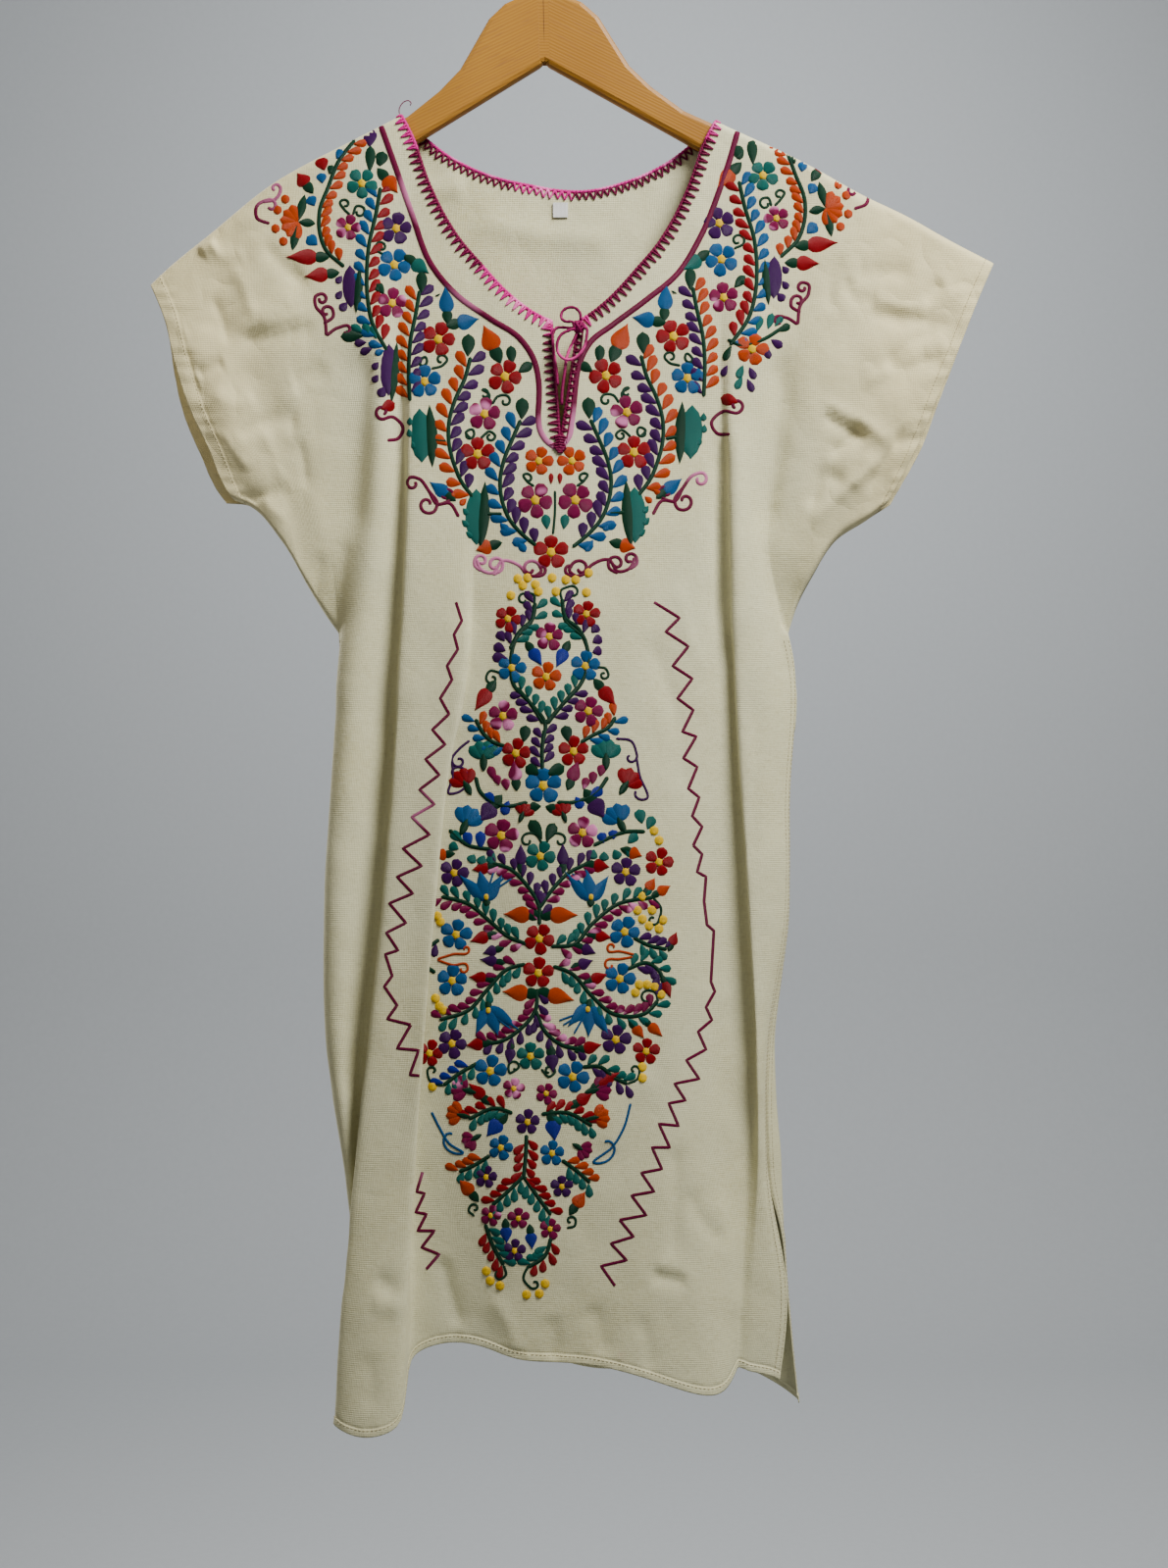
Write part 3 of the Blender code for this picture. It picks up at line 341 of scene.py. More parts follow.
BACK_SLIT_LEFT = Line(
    (-199, -191, -181, -169, -162, -164, -168, -166, -151, -155, -160),
    (9, 9, 9, 8, 0, 0, 0, 0, 1, 2, 3), 1168,
)
BACK_SLIT_RIGHT = Line(
    (216, 208, 196, 182, 204, 199, 197, 182, 190, 197, 207),
    (9, 9, 9, 8, 0, -4, -6, -9, -9, -8, -8), 1187,
)

SHOULDER_FREE = {
    -1: ((-271, 252), (-298, 274), (-314, 289)),
    1: ((256, 216), (297, 236), (325, 252), (363, 272)),
}
CUFFS_FRONT = {
    -1: ((-301, 320), (-292, 357), (-281, 391), (-267, 421), (-252, 456), (-247, 463)),
    1: ((348, 306), (334, 341), (317, 380), (301, 420), (286, 449), (276, 467)),
}
CUFFS_BACK = {
    -1: ((-304, 322), (-299, 357), (-291, 391), (-277, 424), (-260, 458), (-254, 465)),
    1: ((349, 307), (337, 342), (322, 381), (307, 420), (291, 449), (281, 466)),
}
UNDERARM = {
    -1: ((-236, 467), (-209, 496), (-187, 534), (-174, 555)),
    1: ((264, 477), (236, 496), (218, 524), (206, 547)),
}
# Sleeves: how deep they stand, swell and crease, and how they leave the body's side column
SLEEVE_DEPTH, SLEEVE_SWELL, SLEEVE_CREASE = 9.0, 5.0, 3.0
SLEEVE_WAVES, SLEEVE_SLANT = 2.5, 0.35
SLEEVE_SPACING, SLEEVE_ROW_BLEND, SLEEVE_DEPTH_BLEND = 1.15, 1.6, 2.5

# The finer grid: insets from the top edge, then even rows, then insets from the hem
TOP_INSETS = (0.0, 0.6, 1.6, 2.6, 4.0, 5.5, 7.5, 9.5)
UPPER_COUNT = 62
SEAM_COUNT = 100
SLIT_COUNT = 34
HEM_INSETS = (11.0, 9.0, 7.5, 6.6, 6.0, 5.2, 3.0, 1.2, 0.0)
LOW_INSETS = (9.0, 6.0, 3.6, 1.8, 0.8, 0.3, 0.0)
SIDE_INSETS = (0.75, 1.05, 1.3)
SLEEVE_COLUMNS = 72
COLUMNS = 170
NECK_INSETS = (0.0, 0.4, 1.6)
EVEN_DROPS = (420.0, 800.0, 1100.0)
LEAST_GAP = 0.06
SEAM_DRAW = 1.5
ROUNDED_TO = UNDERARM_DROP - 40
# A distance for points that the edge in question doesn't concern
FAR = 99.0


def mix(low, high, share):
    return low + (high - low) * share


def ease(share):
    share = np.clip(share, 0.0, 1.0)
    return share * share * (3 - 2 * share)


def through(places, values, at):
    """A cubic through values at rising places, straight past both ends, for an array of places."""
    places, values = np.asarray(places, float), np.asarray(values, float)
    at = np.asarray(at, float)
    slopes = np.gradient(values, places)
    k = np.clip(np.searchsorted(places, at, side="right") - 1, 0, len(places) - 2)
    span = places[k + 1] - places[k]
    t = np.clip((at - places[k]) / span, 0.0, 1.0)
    found = (1 + 2 * t) * (1 - t) ** 2 * values[k] + t * t * (3 - 2 * t) * values[k + 1]
    found += t * (1 - t) ** 2 * span * slopes[k] + t * t * (t - 1) * span * slopes[k + 1]
    before, after = np.minimum(at - places[0], 0.0), np.maximum(at - places[-1], 0.0)
    return found + slopes[0] * before + slopes[-1] * after


def lengths_along(points):
    steps = np.linalg.norm(np.diff(np.asarray(points, float), axis=0), axis=1)
    return np.concatenate([[0.0], np.cumsum(steps)])


def along_points(points, shares):
    """Places at shares of the length of a smooth curve through points."""
    points = np.asarray(points, float)
    lengths = lengths_along(points)
    at = np.asarray(shares, float) * lengths[-1]
    return np.stack([through(lengths, points[:, axis], at) for axis in range(points.shape[1])], axis=-1)


def lean(out, drop):
    """A place on the hanger, turned with it."""
    turn = math.cos(HANGER_LEAN), math.sin(HANGER_LEAN)
    return out * turn[0] + drop * turn[1], drop * turn[0] - out * turn[1]


def shoulder_points(side):
    """The shoulder from the neck out: a little above the hanger's arm, then free to the cuff."""
    covered = []
    for k, (out, drop) in enumerate(ARM):
        covered.append(lean(side * out, drop - mix(*SHOULDER_LIFTS, k / (len(ARM) - 1))))
    return covered + list(SHOULDER_FREE[side])


def shoulder_drop(side, across):
    points = np.array(shoulder_points(side)[::side], float)
    return through(points[:, 0], points[:, 1], across)


def neck_points(table):
    left_point = float(shoulder_drop(-1, NECK_MIDDLE - NECK_HALF))
    right_point = float(shoulder_drop(1, NECK_MIDDLE + NECK_HALF))
    left = [(NECK_MIDDLE - out, left_point + below) for out, below in table[:-1]]
    right = [(NECK_MIDDLE + out, right_point + below) for out, below in table[:-1]]
    return np.array([*left, (NECK_MIDDLE, mix(left_point, right_point, 0.5) + table[-1][1]), *right[::-1]])


def top_drop(table, across):
    """Drop of a panel's top edge: the neck's curve between the two shoulders."""
    points = neck_points(table)
    inside = through(points[:, 0], points[:, 1], across)
    left = np.where(across < NECK_MIDDLE - NECK_HALF, shoulder_drop(-1, across), inside)
    return np.where(across > NECK_MIDDLE + NECK_HALF, shoulder_drop(1, across), left)


def strip(near, far):
    """Corners of the quads between two neighbouring columns of points."""
    return [near[:-1], near[1:], far[1:], far[:-1]]


def rounding(inset, reach):
    """Share of the full depth at an inset from an edge that is rounded over a reach."""
    return np.sqrt(1 - (1 - np.clip(inset / reach, 0.0, 1.0)) ** 2)


PLACKET_BOTTOM = mix(float(top_drop(NECK_FRONT, NECK_MIDDLE)) + TOP_INSETS[-1], UNDERARM_DROP, PLACKET_SHARE)


def placket_shift(across, drop, side):
    """How far the placket's edges stand open, most at the top and at the edge itself."""
    near = np.maximum(0.0, 1 - np.abs(across - NECK_MIDDLE) / PLACKET_REACH)
    rise = np.maximum(PLACKET_BOTTOM - drop, 0.0) / 100.0
    return side * PLACKET_OPEN * near * np.minimum(rise, 1.3)


def fold_lines(fold, faces_left):
    """A fold as four lines: two under it, hidden, and two down its edge."""
    edge, tuck, over, under = (np.asarray(values, float) for values in fold[:4])
    hidden = edge + (1 if faces_left else -1) * tuck
    hem_over, hem_under = fold[4:]
    lines = [
        Line(hidden, under, hem_under),
        Line(hidden, mix(under, over, 0.33), mix(hem_under, hem_over, 0.33)),
        Line(edge, mix(under, over, 0.67), mix(hem_under, hem_over, 0.67)),
        Line(edge, over, hem_over),
    ]
    return lines if faces_left else lines[::-1]


def back_line(row):
    """A line of the back, straight from top to hem."""
    shares = (np.array(STATIONS, float) - STATIONS[0]) / (STATIONS[-1] - STATIONS[0])
    return Line(mix(row[0], row[1], shares), np.interp(shares, (0.0, 0.42, 1.0), row[2:5]), row[5])


FRONT_LINES = [
    LEFT_SEAM, *FRONT_LEFT, *fold_lines(FOLD_LEFT, True), FRONT_PANEL, *fold_lines(FOLD_ZIGZAG, False),
    *FRONT_MIDDLE, *fold_lines(FOLD_RIGHT, True), *FRONT_RIGHT, RIGHT_SEAM,
]
BACK_PANEL_LINES = [
    BACK_SLIT_LEFT, BACK_LEFT_SIDE, *map(back_line, BACK_LINES), BACK_RIGHT_SIDE, BACK_SLIT_RIGHT,
]
MIDDLE_PLACE = 17.0


class Loft:
    """A panel's lines, and the smooth section through them at any drop."""

    def __init__(self, lines):
        self.across = np.array([line.across for line in lines], float)
        self.depth = np.array([line.depth for line in lines], float)
        self.hems = np.array([line.hem for line in lines], float)
        self.count = len(lines)

    def weights(self, place):
        """B-spline weights of the lines, an array with a row for each place."""
        place = np.ravel(np.asarray(place, float))
        span = np.minimum(place.astype(int), self.count)
        t = place - span
        shares = ((1 - t) ** 3, 3 * t ** 3 - 6 * t * t + 4, -3 * t ** 3 + 3 * t * t + 3 * t + 1, t ** 3)
        found = np.zeros((len(place), self.count))
        for offset, share in enumerate(shares):
            line = np.clip(span + offset - 2, 0, self.count - 1)
            np.add.at(found, (np.arange(len(place)), line), share / 6)
        return found

    def at(self, place, drop):
        """Across and depth for arrays of places and drops."""
        place, drop = np.broadcast_arrays(np.asarray(place, float), np.asarray(drop, float))
        weights = self.weights(place)
        flat = np.ravel(drop)
        basis = np.stack([through(STATIONS, unit, flat) for unit in np.eye(len(STATIONS))], axis=-1)
        across = np.sum((weights @ self.across) * basis, axis=1)
        depth = np.sum((weights @ self.depth) * basis, axis=1)
        return across.reshape(place.shape), depth.reshape(place.shape)

    def hem(self, place):
        return self.weights(place) @ self.hems

    def place_through(self, across, drop, low=1.0, high=None):
        """The place whose section passes an across, found by halving."""
        across, drop = np.asarray(across, float), np.asarray(drop, float)
        low = np.full(across.shape, low)
        high = np.full(across.shape, float(self.count) if high is None else high)
        for _ in range(30):
            middle = 0.5 * (low + high)
            less = self.at(middle, drop)[0] < across
            low, high = np.where(less, middle, low), np.where(less, high, middle)
        return high

    def even_places(self, count, kept):
        """Places about evenly spaced along the cloth's section, with some kept exactly."""
        fine = np.linspace(0.0, self.count + 1.0, 1200)
        total = np.zeros(len(fine))
        for drop in EVEN_DROPS:
            total += lengths_along(np.stack(self.at(fine, np.full(len(fine), drop)), axis=-1))
        even = np.interp(np.linspace(0, total[-1], count), total, fine)
        edges = [*SIDE_INSETS, *(self.count + 1.0 - inset for inset in SIDE_INSETS)]
        kept = sorted([*kept, *edges])
        even = [p for p in even if min(abs(p - k) for k in kept) > LEAST_GAP]
        return np.array(sorted([*even, *kept]))


class Cloth:
    """A panel's fine grid and its mesh, with the relief that makes its creases."""

    def __init__(self, name, facing, lines, neck, cuffs, placket):
        self.name, self.facing, self.neck, self.cuffs, self.placket = name, facing, neck, cuffs, placket
        self.loft = Loft(lines)
        count = self.loft.count
        kept = [0.0, count + 1.0]
        for side in (-1, 1):
            for inset in NECK_INSETS:
                across = NECK_MIDDLE + side * (NECK_HALF - inset)
                kept.append(float(self.loft.place_through([across], top_drop(neck, np.array([across])))[0]))
        if placket:
            kept.append(MIDDLE_PLACE)
        self.places = self.loft.even_places(COLUMNS, kept)
        self.sides = np.ones(len(self.places))
        self.middle = None
        if placket:
            self.middle = int(np.argmin(np.abs(self.places - MIDDLE_PLACE)))
            self.places = np.insert(self.places, self.middle, MIDDLE_PLACE)
            self.sides = np.where(np.arange(len(self.places)) <= self.middle, -1.0, 1.0)
        self.underarm_row = len(TOP_INSETS) + UPPER_COUNT - 1
        self.placket_row = len(TOP_INSETS) + round(PLACKET_SHARE * UPPER_COUNT) - 1
        self.grid()

    def point_at(self, drop):
        """Across and depth of every column at a drop, with the placket's edges drawn apart."""
        across, depth = self.loft.at(self.places, drop)
        if self.placket:
            across = across + placket_shift(across, drop, self.sides)
        return across, depth

    def tops(self):
        """The drop at which each column starts, found by halving."""
        low, high = np.full(len(self.places), 100.0), np.full(len(self.places), float(UNDERARM_DROP))
        for _ in range(36):
            middle = 0.5 * (low + high)
            above = middle < top_drop(self.neck, self.point_at(middle)[0])
            low, high = np.where(above, middle, low), np.where(above, high, middle)
        return high

    def grid(self):
        """Across, depth and drop of the body's points, each an array of columns by rows."""
        tops = self.tops()
        hems = self.loft.hem(self.places)
        rows = [tops + inset for inset in TOP_INSETS]
        rows += [mix(rows[-1], UNDERARM_DROP, (k + 1) / UPPER_COUNT) for k in range(UPPER_COUNT)]
        seam = [mix(UNDERARM_DROP, SLIT_TOP_DROP, (k + 1) / SEAM_COUNT) for k in range(SEAM_COUNT)]
        rows += [drop + 0 * tops for drop in seam]
        low = hems - HEM_INSETS[0]
        rows += [mix(SLIT_TOP_DROP, low, (k + 1) / SLIT_COUNT) for k in range(SLIT_COUNT)]
        rows += [hems - inset for inset in HEM_INSETS[1:]]
        self.across, self.depth = [], []
        for drop in rows:
            across, depth = self.point_at(drop)
            near_neck = np.abs(across - NECK_MIDDLE) < NECK_ROUNDED
            left = shoulder_drop(-1, across)
            right = shoulder_drop(1, across)
            share = rounding(drop - np.where(across < NECK_MIDDLE, left, right), SHOULDER_ROUND)
            rounded = self.facing * np.maximum(np.abs(depth) * share, SEAM_GAP)
            self.across.append(across)
            self.depth.append(np.where(near_neck | (drop > ROUNDED_TO), depth, rounded))
        self.across, self.depth = np.array(self.across).T, np.array(self.depth).T
        self.drop = np.array(rows).T
        self.hems = hems
        self.seam_ends()

    def seam_ends(self):
        """Draws the side columns onto the side seams and the slits' edges."""
        end = self.loft.count + 1.0
        below = slice(self.underarm_row, None)
        drop = self.drop[:, below]
        share = ease((drop - SLIT_TOP_DROP) / SLIT_BLEND)
        for off, seam, line in ((self.places, LEFT_SEAM, 0), (end - self.places, RIGHT_SEAM, -1)):
            near = np.maximum(1 - off / SEAM_DRAW, 0.0)[:, None]
            drawn = (
                (self.across, seam.across, self.loft.across[line]),
                (self.depth, seam.depth, self.loft.depth[line]),
            )
            for values, seam_values, line_values in drawn:
                edge = through(STATIONS, line_values, drop)
                values[:, below] += near * (1 - share) * (through(STATIONS, seam_values, drop) - edge)
            self.depth[:, below] += near * self.facing * SEAM_GAP

    def sleeve(self, side):
        """Across, depth and drop of a sleeve's points past the body's side column."""
        edge = 0 if side < 0 else len(self.places) - 1
        last = self.underarm_row + 1
        inner = np.stack([self.across[edge, :last], self.drop[edge, :last]], axis=-1)
        inner_depth = np.abs(self.depth[edge, :last])
        tip = np.array(SHOULDER_FREE[side][-1], float)
        shoulder = [p for p in shoulder_points(side) if side * (p[0] - inner[0][0]) > 1]
        top_line = np.array([inner[0], *shoulder])
        cuff_line = np.array([tip, *self.cuffs[side]])
        under_line = np.array([inner[-1], *UNDERARM[side][::-1], self.cuffs[side][-1]])
        inner_rows = lengths_along(inner) / lengths_along(inner)[-1]
        length = lengths_along(cuff_line)[-1]
        between = last - len(TOP_INSETS) - len(LOW_INSETS) + 1
        insets = list(TOP_INSETS)
        insets += [mix(TOP_INSETS[-1], length - LOW_INSETS[0], (k + 1) / between) for k in range(between)]
        insets += [length - inset for inset in LOW_INSETS[1:]]
        rows = np.array(insets) / length
        columns = []
        for step in range(1, SLEEVE_COLUMNS + 1):
            a = 1 - (1 - step / SLEEVE_COLUMNS) ** SLEEVE_SPACING
            v = mix(inner_rows, rows, min(1.0, SLEEVE_ROW_BLEND * a))
            sides = mix(along_points(inner, v), along_points(cuff_line, v), a)
            top, under = along_points(top_line, [a])[0], along_points(under_line, [a])[0]
            ends = mix(top, under, v[:, None])
            corners = mix(mix(inner[0], tip, a), mix(inner[-1], cuff_line[-1], a), v[:, None])
            place = sides + ends - corners
            swell = SLEEVE_DEPTH + SLEEVE_SWELL * np.sin(math.pi * v)
            waves = np.sin(SLEEVE_WAVES * math.pi * (a + SLEEVE_SLANT * v))
            crease = SLEEVE_CREASE * waves * np.sin(math.pi * v)
            round_ends = rounding(v * length, SHOULDER_ROUND) * rounding((1 - v) * length, SHOULDER_ROUND)
            depth = mix(inner_depth, (swell + crease) * round_ends, min(1.0, SLEEVE_DEPTH_BLEND * a))
            depth = np.maximum(depth, SEAM_GAP)
            depth = np.where((v <= 0) | (v >= 1), SEAM_GAP, depth)
            columns.append(np.stack([place[:, 0], self.facing * depth, place[:, 1]], axis=-1))
        return np.array(columns)

    def build(self):
        """All the points as one array, the quads between them and how near each point is to an edge."""
        body = np.stack([self.across, self.depth, self.drop], axis=-1)
        columns, rows = body.shape[:2]
        index = np.arange(columns * rows).reshape(columns, rows)
        if self.placket:
            index[self.middle + 1, self.placket_row:] = index[self.middle, self.placket_row:]
        points = [body.reshape(-1, 3)]
        quads = []
        for k in range(columns - 1):
            if self.placket and k == self.middle:
                continue
            quads.append(np.stack(strip(index[k], index[k + 1]), axis=-1))
        steps = np.linalg.norm(np.diff(body[:, :, :2], axis=0), axis=2)
        along = np.concatenate([np.zeros((1, rows)), np.cumsum(steps, axis=0)])
        hem = self.hems[:, None] - self.drop
        top = self.drop - self.drop[:, :1]
        slit = np.minimum(along, along[-1] - along)
        lower = np.arange(rows)[None, :] >= self.underarm_row
        far = np.full(along.shape, FAR)
        self.sleeves = {}
        measures = [np.stack([along, top, np.where(lower, slit, far), hem, far], axis=-1).reshape(-1, 5)]
        start = columns * rows
        for side in (-1, 1):
            sleeve = self.sleeve(side)
            edge = 0 if side < 0 else columns - 1
            count = sleeve.shape[0]
            part = start + np.arange(count * sleeve.shape[1]).reshape(count, -1)
            start += part.size
            part = np.concatenate([index[edge:edge + 1, :sleeve.shape[1]], part])
            for k in range(count):
                ring = strip(part[k], part[k + 1])
                quads.append(np.stack(ring if side > 0 else ring[::-1], axis=-1))
            points.append(sleeve.reshape(-1, 3))
            whole = np.concatenate([body[edge:edge + 1, :sleeve.shape[1]], sleeve])
            out = np.linalg.norm(np.diff(whole[:, :, ::2], axis=0), axis=2)
            to_cuff = (out[::-1].cumsum(axis=0))[::-1]
            self.sleeves[side] = part, to_cuff
            down = np.linalg.norm(np.diff(sleeve[:, :, ::2], axis=1), axis=2)
            from_top = np.concatenate([np.zeros((count, 1)), down.cumsum(axis=1)], axis=1)
            seam = np.minimum(from_top, from_top[:, -1:] - from_top)
            across = along[edge, :sleeve.shape[1]][None, :] + side * out.cumsum(axis=0)
            far = np.full(seam.shape, FAR)
            measures.append(np.stack([across, seam, far, far, to_cuff], axis=-1).reshape(-1, 5))
        self.points = np.concatenate(points)
        self.quads = np.concatenate(quads)
        if self.facing > 0:
            self.quads = self.quads[:, ::-1]
        self.measures = np.concatenate(measures)
        self.body_size = (columns, rows)


def to_photo(points):
    """Pixels of the photograph at which the camera sees points, given as across, depth and drop."""
    k = (points[:, 1] + CAMERA_AWAY) / PLANE_AWAY
    across = CAMERA_ACROSS + (points[:, 0] - CAMERA_ACROSS) / k
    drop = CAMERA_DROP + (points[:, 2] - CAMERA_DROP) / k
    pixels = across / MM_PER_PIXEL + PIXEL_AT_ORIGIN[0], drop / MM_PER_PIXEL + PIXEL_AT_ORIGIN[1]
    return np.stack(pixels, axis=-1)


def camera_ray(pixels):
    """Way from the camera through pixels, for a step of one in depth."""
    across = (pixels[:, 0] - PIXEL_AT_ORIGIN[0]) * MM_PER_PIXEL - CAMERA_ACROSS
    drop = (pixels[:, 1] - PIXEL_AT_ORIGIN[1]) * MM_PER_PIXEL - CAMERA_DROP
    return np.stack([across / PLANE_AWAY, drop / PLANE_AWAY], axis=-1)


def coords(points):
    """Metres in the row frame for points of across, depth and drop."""
    points = np.asarray(points, float)
    return np.stack([points[:, 0], points[:, 1], -points[:, 2]], axis=-1) * MM


def rows_of(text):
    """Rows of a layout, parted by slashes, each as a list of its words."""
    return [row.split() for row in text.split("/")]


def numbers(words):
    """Pairs of numbers from words such as '12,4'."""
    return np.array([[float(n) for n in pair.split(",")] for pair in words])


def smooth_route(route, per_span):
    """More points on a smooth curve through the given ones."""
    if len(route) < 3:
        return np.asarray(route, float)
    lengths = lengths_along(route)
    at = np.linspace(0, lengths[-1], per_span * (len(route) - 1) + 1)
    return np.stack([through(lengths, np.asarray(route)[:, axis], at) for axis in range(2)], axis=-1)


def polyline_field(at, route):
    """For points in a plane: the distance to a polyline and the share of its length at the nearest."""
    route = np.asarray(route, float)
    lengths = lengths_along(route)
    best = np.full(len(at), 1e9)
    share = np.zeros(len(at))
    for k in range(len(route) - 1):
        step = route[k + 1] - route[k]
        t = np.clip(((at - route[k]) @ step) / (step @ step), 0.0, 1.0)
        gap = np.linalg.norm(at - route[k] - t[:, None] * step, axis=1)
        near = gap < best
        best = np.where(near, gap, best)
        share = np.where(near, (lengths[k] + t * np.linalg.norm(step)) / lengths[-1], share)
    return best, share


def mesh_piece(name, points, faces, uvs=None, smooth=True):
    """A mesh from points of across, depth and drop, with a UV pair for each point."""
    data = bpy.data.meshes.new(name)
    data.from_pydata(coords(points).tolist(), [], [list(map(int, face)) for face in faces])
    if uvs is not None:
        layer = data.uv_layers.new(name="UVMap")
        loops = np.empty(len(data.loops), dtype=np.int32)
        data.loops.foreach_get("vertex_index", loops)
        layer.data.foreach_set("uv", np.asarray(uvs, dtype=np.float32)[loops].ravel())
    if smooth:
        data.shade_smooth()
    piece = bpy.data.objects.new(name, data)
    bpy.context.scene.collection.objects.link(piece)
    return piece


def settle(piece, material, slot, *replaced):
    """Gives a piece its material, body and slot, and names the nodes that it replaces."""
    piece.data.materials.clear()
    piece.data.materials.append(material)
    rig.ride(piece, "root")
    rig.slot(piece, slot)
    if replaced:
        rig.replaces(piece, *replaced)
    return piece


# Creases: a width in pixels and a depth in millimetres, a trough below nought, then the route in pixels
FRONT_CREASES = """6,-1 240,346 285,340 328,332 / 5,0.7 236,336 280,330 322,321 /
5,-0.8 199,382 215,375 230,369 / 6,-0.8 296,391 316,384 334,375 / 7,-0.7 252,318 276,296 310,270 /
6,0.6 238,268 252,300 262,326 / 6,-0.9 236,513 262,507 298,497 / 6,-0.7 304,448 309,470 312,500 /
5,-0.7 214,300 228,330 232,352 / 5,1 204,258 213,252 222,249 / 6,-0.5 186,338 204,330 226,334 /
6,0.6 214,400 240,412 262,404 / 10,-1.3 372,345 368,420 364,480 360,560 /
7,0.6 262,430 282,470 290,520 / 6,-0.5 330,560 322,600 326,650 / 4,0.8 834,408 862,424 888,437 908,452 /
5,-0.9 838,420 864,436 888,450 / 6,-0.6 908,452 930,448 948,440 / 5,-0.9 845,466 862,450 879,430 /
7,-0.9 878,316 918,324 955,329 984,337 / 6,0.6 884,304 920,312 950,316 /
6,-0.8 900,374 930,371 955,367 968,370 / 5,-0.7 944,308 952,296 960,286 /
6,-0.6 870,282 900,276 932,282 / 10,-1.4 802,350 794,430 786,500 780,560 /
5,-0.8 824,520 833,500 841,484 852,488 866,495 / 6,0.6 868,500 880,480 886,460 /
6,-0.5 820,590 812,640 816,700 / 6,-1.1 736,430 735,520 736,600 734,660 /
7,0.8 752,425 751,520 751,600 748,670 / 14,-0.8 804,560 806,660 800,780 792,880 /
8,-0.5 770,700 772,800 766,900 / 5,0.4 705,1302 690,1297 665,1289 / 5,-0.8 703,1307 686,1304 662,1299 /
6,-0.5 700,1210 720,1250 744,1270 / 7,-0.7 688,1160 690,1220 686,1290 /
6,-0.8 406,1320 394,1312 381,1302 / 6,0.5 412,1336 396,1330 378,1330 /
6,-0.7 449,1278 458,1315 470,1358 / 7,0.5 500,1320 520,1352 528,1384 /
8,-0.5 560,1340 566,1366 562,1392 / 9,-0.5 600,1330 612,1358 616,1385 /
8,0.5 730,1210 742,1280 748,1350 / 7,-0.4 650,1340 660,1366 664,1400 /
9,-0.5 330,1180 336,1250 338,1330 / 9,0.5 352,1090 350,1180 346,1270 /
7,-0.5 372,1380 380,1410 376,1440 / 10,-0.5 410,700 402,780 384,860 /
11,0.4 618,1180 640,1120 668,1090 / 9,-0.4 350,700 342,790 346,880 / 9,-0.45 660,640 690,730 700,820 /
8,0.4 480,620 468,700 462,760 / 8,0.4 690,590 700,640 720,690 / 5,-0.7 266,246 288,270 314,296 /
5,-0.6 238,446 270,430 308,424 / 5,0.5 226,438 240,460 256,480 / 5,0.5 266,505 280,522 294,530 /
4,0.6 212,246 230,262 252,258 / 4,-0.5 190,352 196,380 204,410 / 5,-0.6 900,374 925,350 960,334 /
5,0.6 822,538 860,502 904,462 / 4,-0.5 926,430 904,468 884,502 / 4,0.5 880,392 910,376 940,364 /
4,-0.5 858,282 874,304 898,306 / 5,-0.5 862,262 846,292 850,320 / 4,0.5 300,300 280,318 262,330 /
4,-0.5 318,392 300,420 296,446 / 4,0.4 960,290 972,300 984,296 / 40,0.5 160,300 250,312 350,345 /
34,-0.4 300,330 290,430 300,540 / 30,0.35 850,330 900,400 930,470 / 6,-0.5 618,150 622,196 600,230 /
5,0.5 470,190 500,196 520,214 / 6,-0.6 640,190 668,196 690,176"""
# The same on the back, where all of it is in millimetres, across and drop
BACK_CREASES = """7,-0.8 -60,236 0,246 62,252 / 6,-0.8 -104,214 -60,206 / 6,0.7 30,206 62,196 /
12,-1.2 -150,330 -155,420 -160,520 / 12,-1.2 176,320 180,420 188,520 /
8,-0.8 -196,300 -240,330 -280,340 / 8,0.8 230,290 280,310 330,318 / 9,-0.9 -240,420 -215,450 -200,500 /
8,-0.8 250,420 232,452 220,500 / 14,-0.8 -20,300 -24,420 -30,560 / 12,0.7 70,330 66,430 60,520 /
9,-0.8 -120,1010 -116,1080 -112,1140 / 8,0.7 20,980 26,1060 24,1140 /
10,-0.8 120,900 126,1000 120,1090 / 8,0.6 -60,820 -52,900 -56,990"""
FRONT_CREASE_SCALE, BACK_CREASE_SCALE = 2.7, 2.3
FACET, BLUNT, SHARPNESS = 3.8, 0.25, 1.7
SOFT_SHARE, SHARP_SHARE = 0.45, 0.95
CREASE_TAPER = 5.0

# Unevenness of the cloth: its pace across and down, its own place in the noise, and its height
UNEVEN = (0.016, 0.008, 7.0, 1.3), (0.045, 0.028, 3.0, 0.55)

# Hems: how wide they are, how they rise and pucker, and the groove where their stitches pull
HEM_BAND, SLIT_BAND = 6.0, 6.2
CUFF_BAND = {-1: 12.5, 1: 10.0}
HEM_FOLD = 0.8
HEM_RISE, SLIT_RISE = 0.6, 0.42
HEM_GROOVE, SLIT_GROOVE = 0.45, 0.3
GROOVE_OFF, GROOVE_WIDE = 0.4, 0.9
CUFF_PUCKER, HEM_PUCKER = 0.55, 0.28
CUFF_WAVE, HEM_WAVE, WAVE_SHIFT, SHIFT_PACE = 0.43, 0.31, 1.9, 0.29
PUCKER_AT, PUCKER_WIDE, PUCKER_FROM_EDGE = 0.7, 0.75, 2.5
RUCK, RUCK_ACROSS, RUCK_DOWN = 0.12, 0.62, 0.9
RISE_BELOW_TOP, GROOVE_BELOW_TOP, ABOVE_SLIT = 4.0, 6.0, 4
CALM_REACH, HEM_CALM_REACH = 9.0, 10.0
CREASED_AT_HEM, CREASED_MORE = 0.35, 0.65


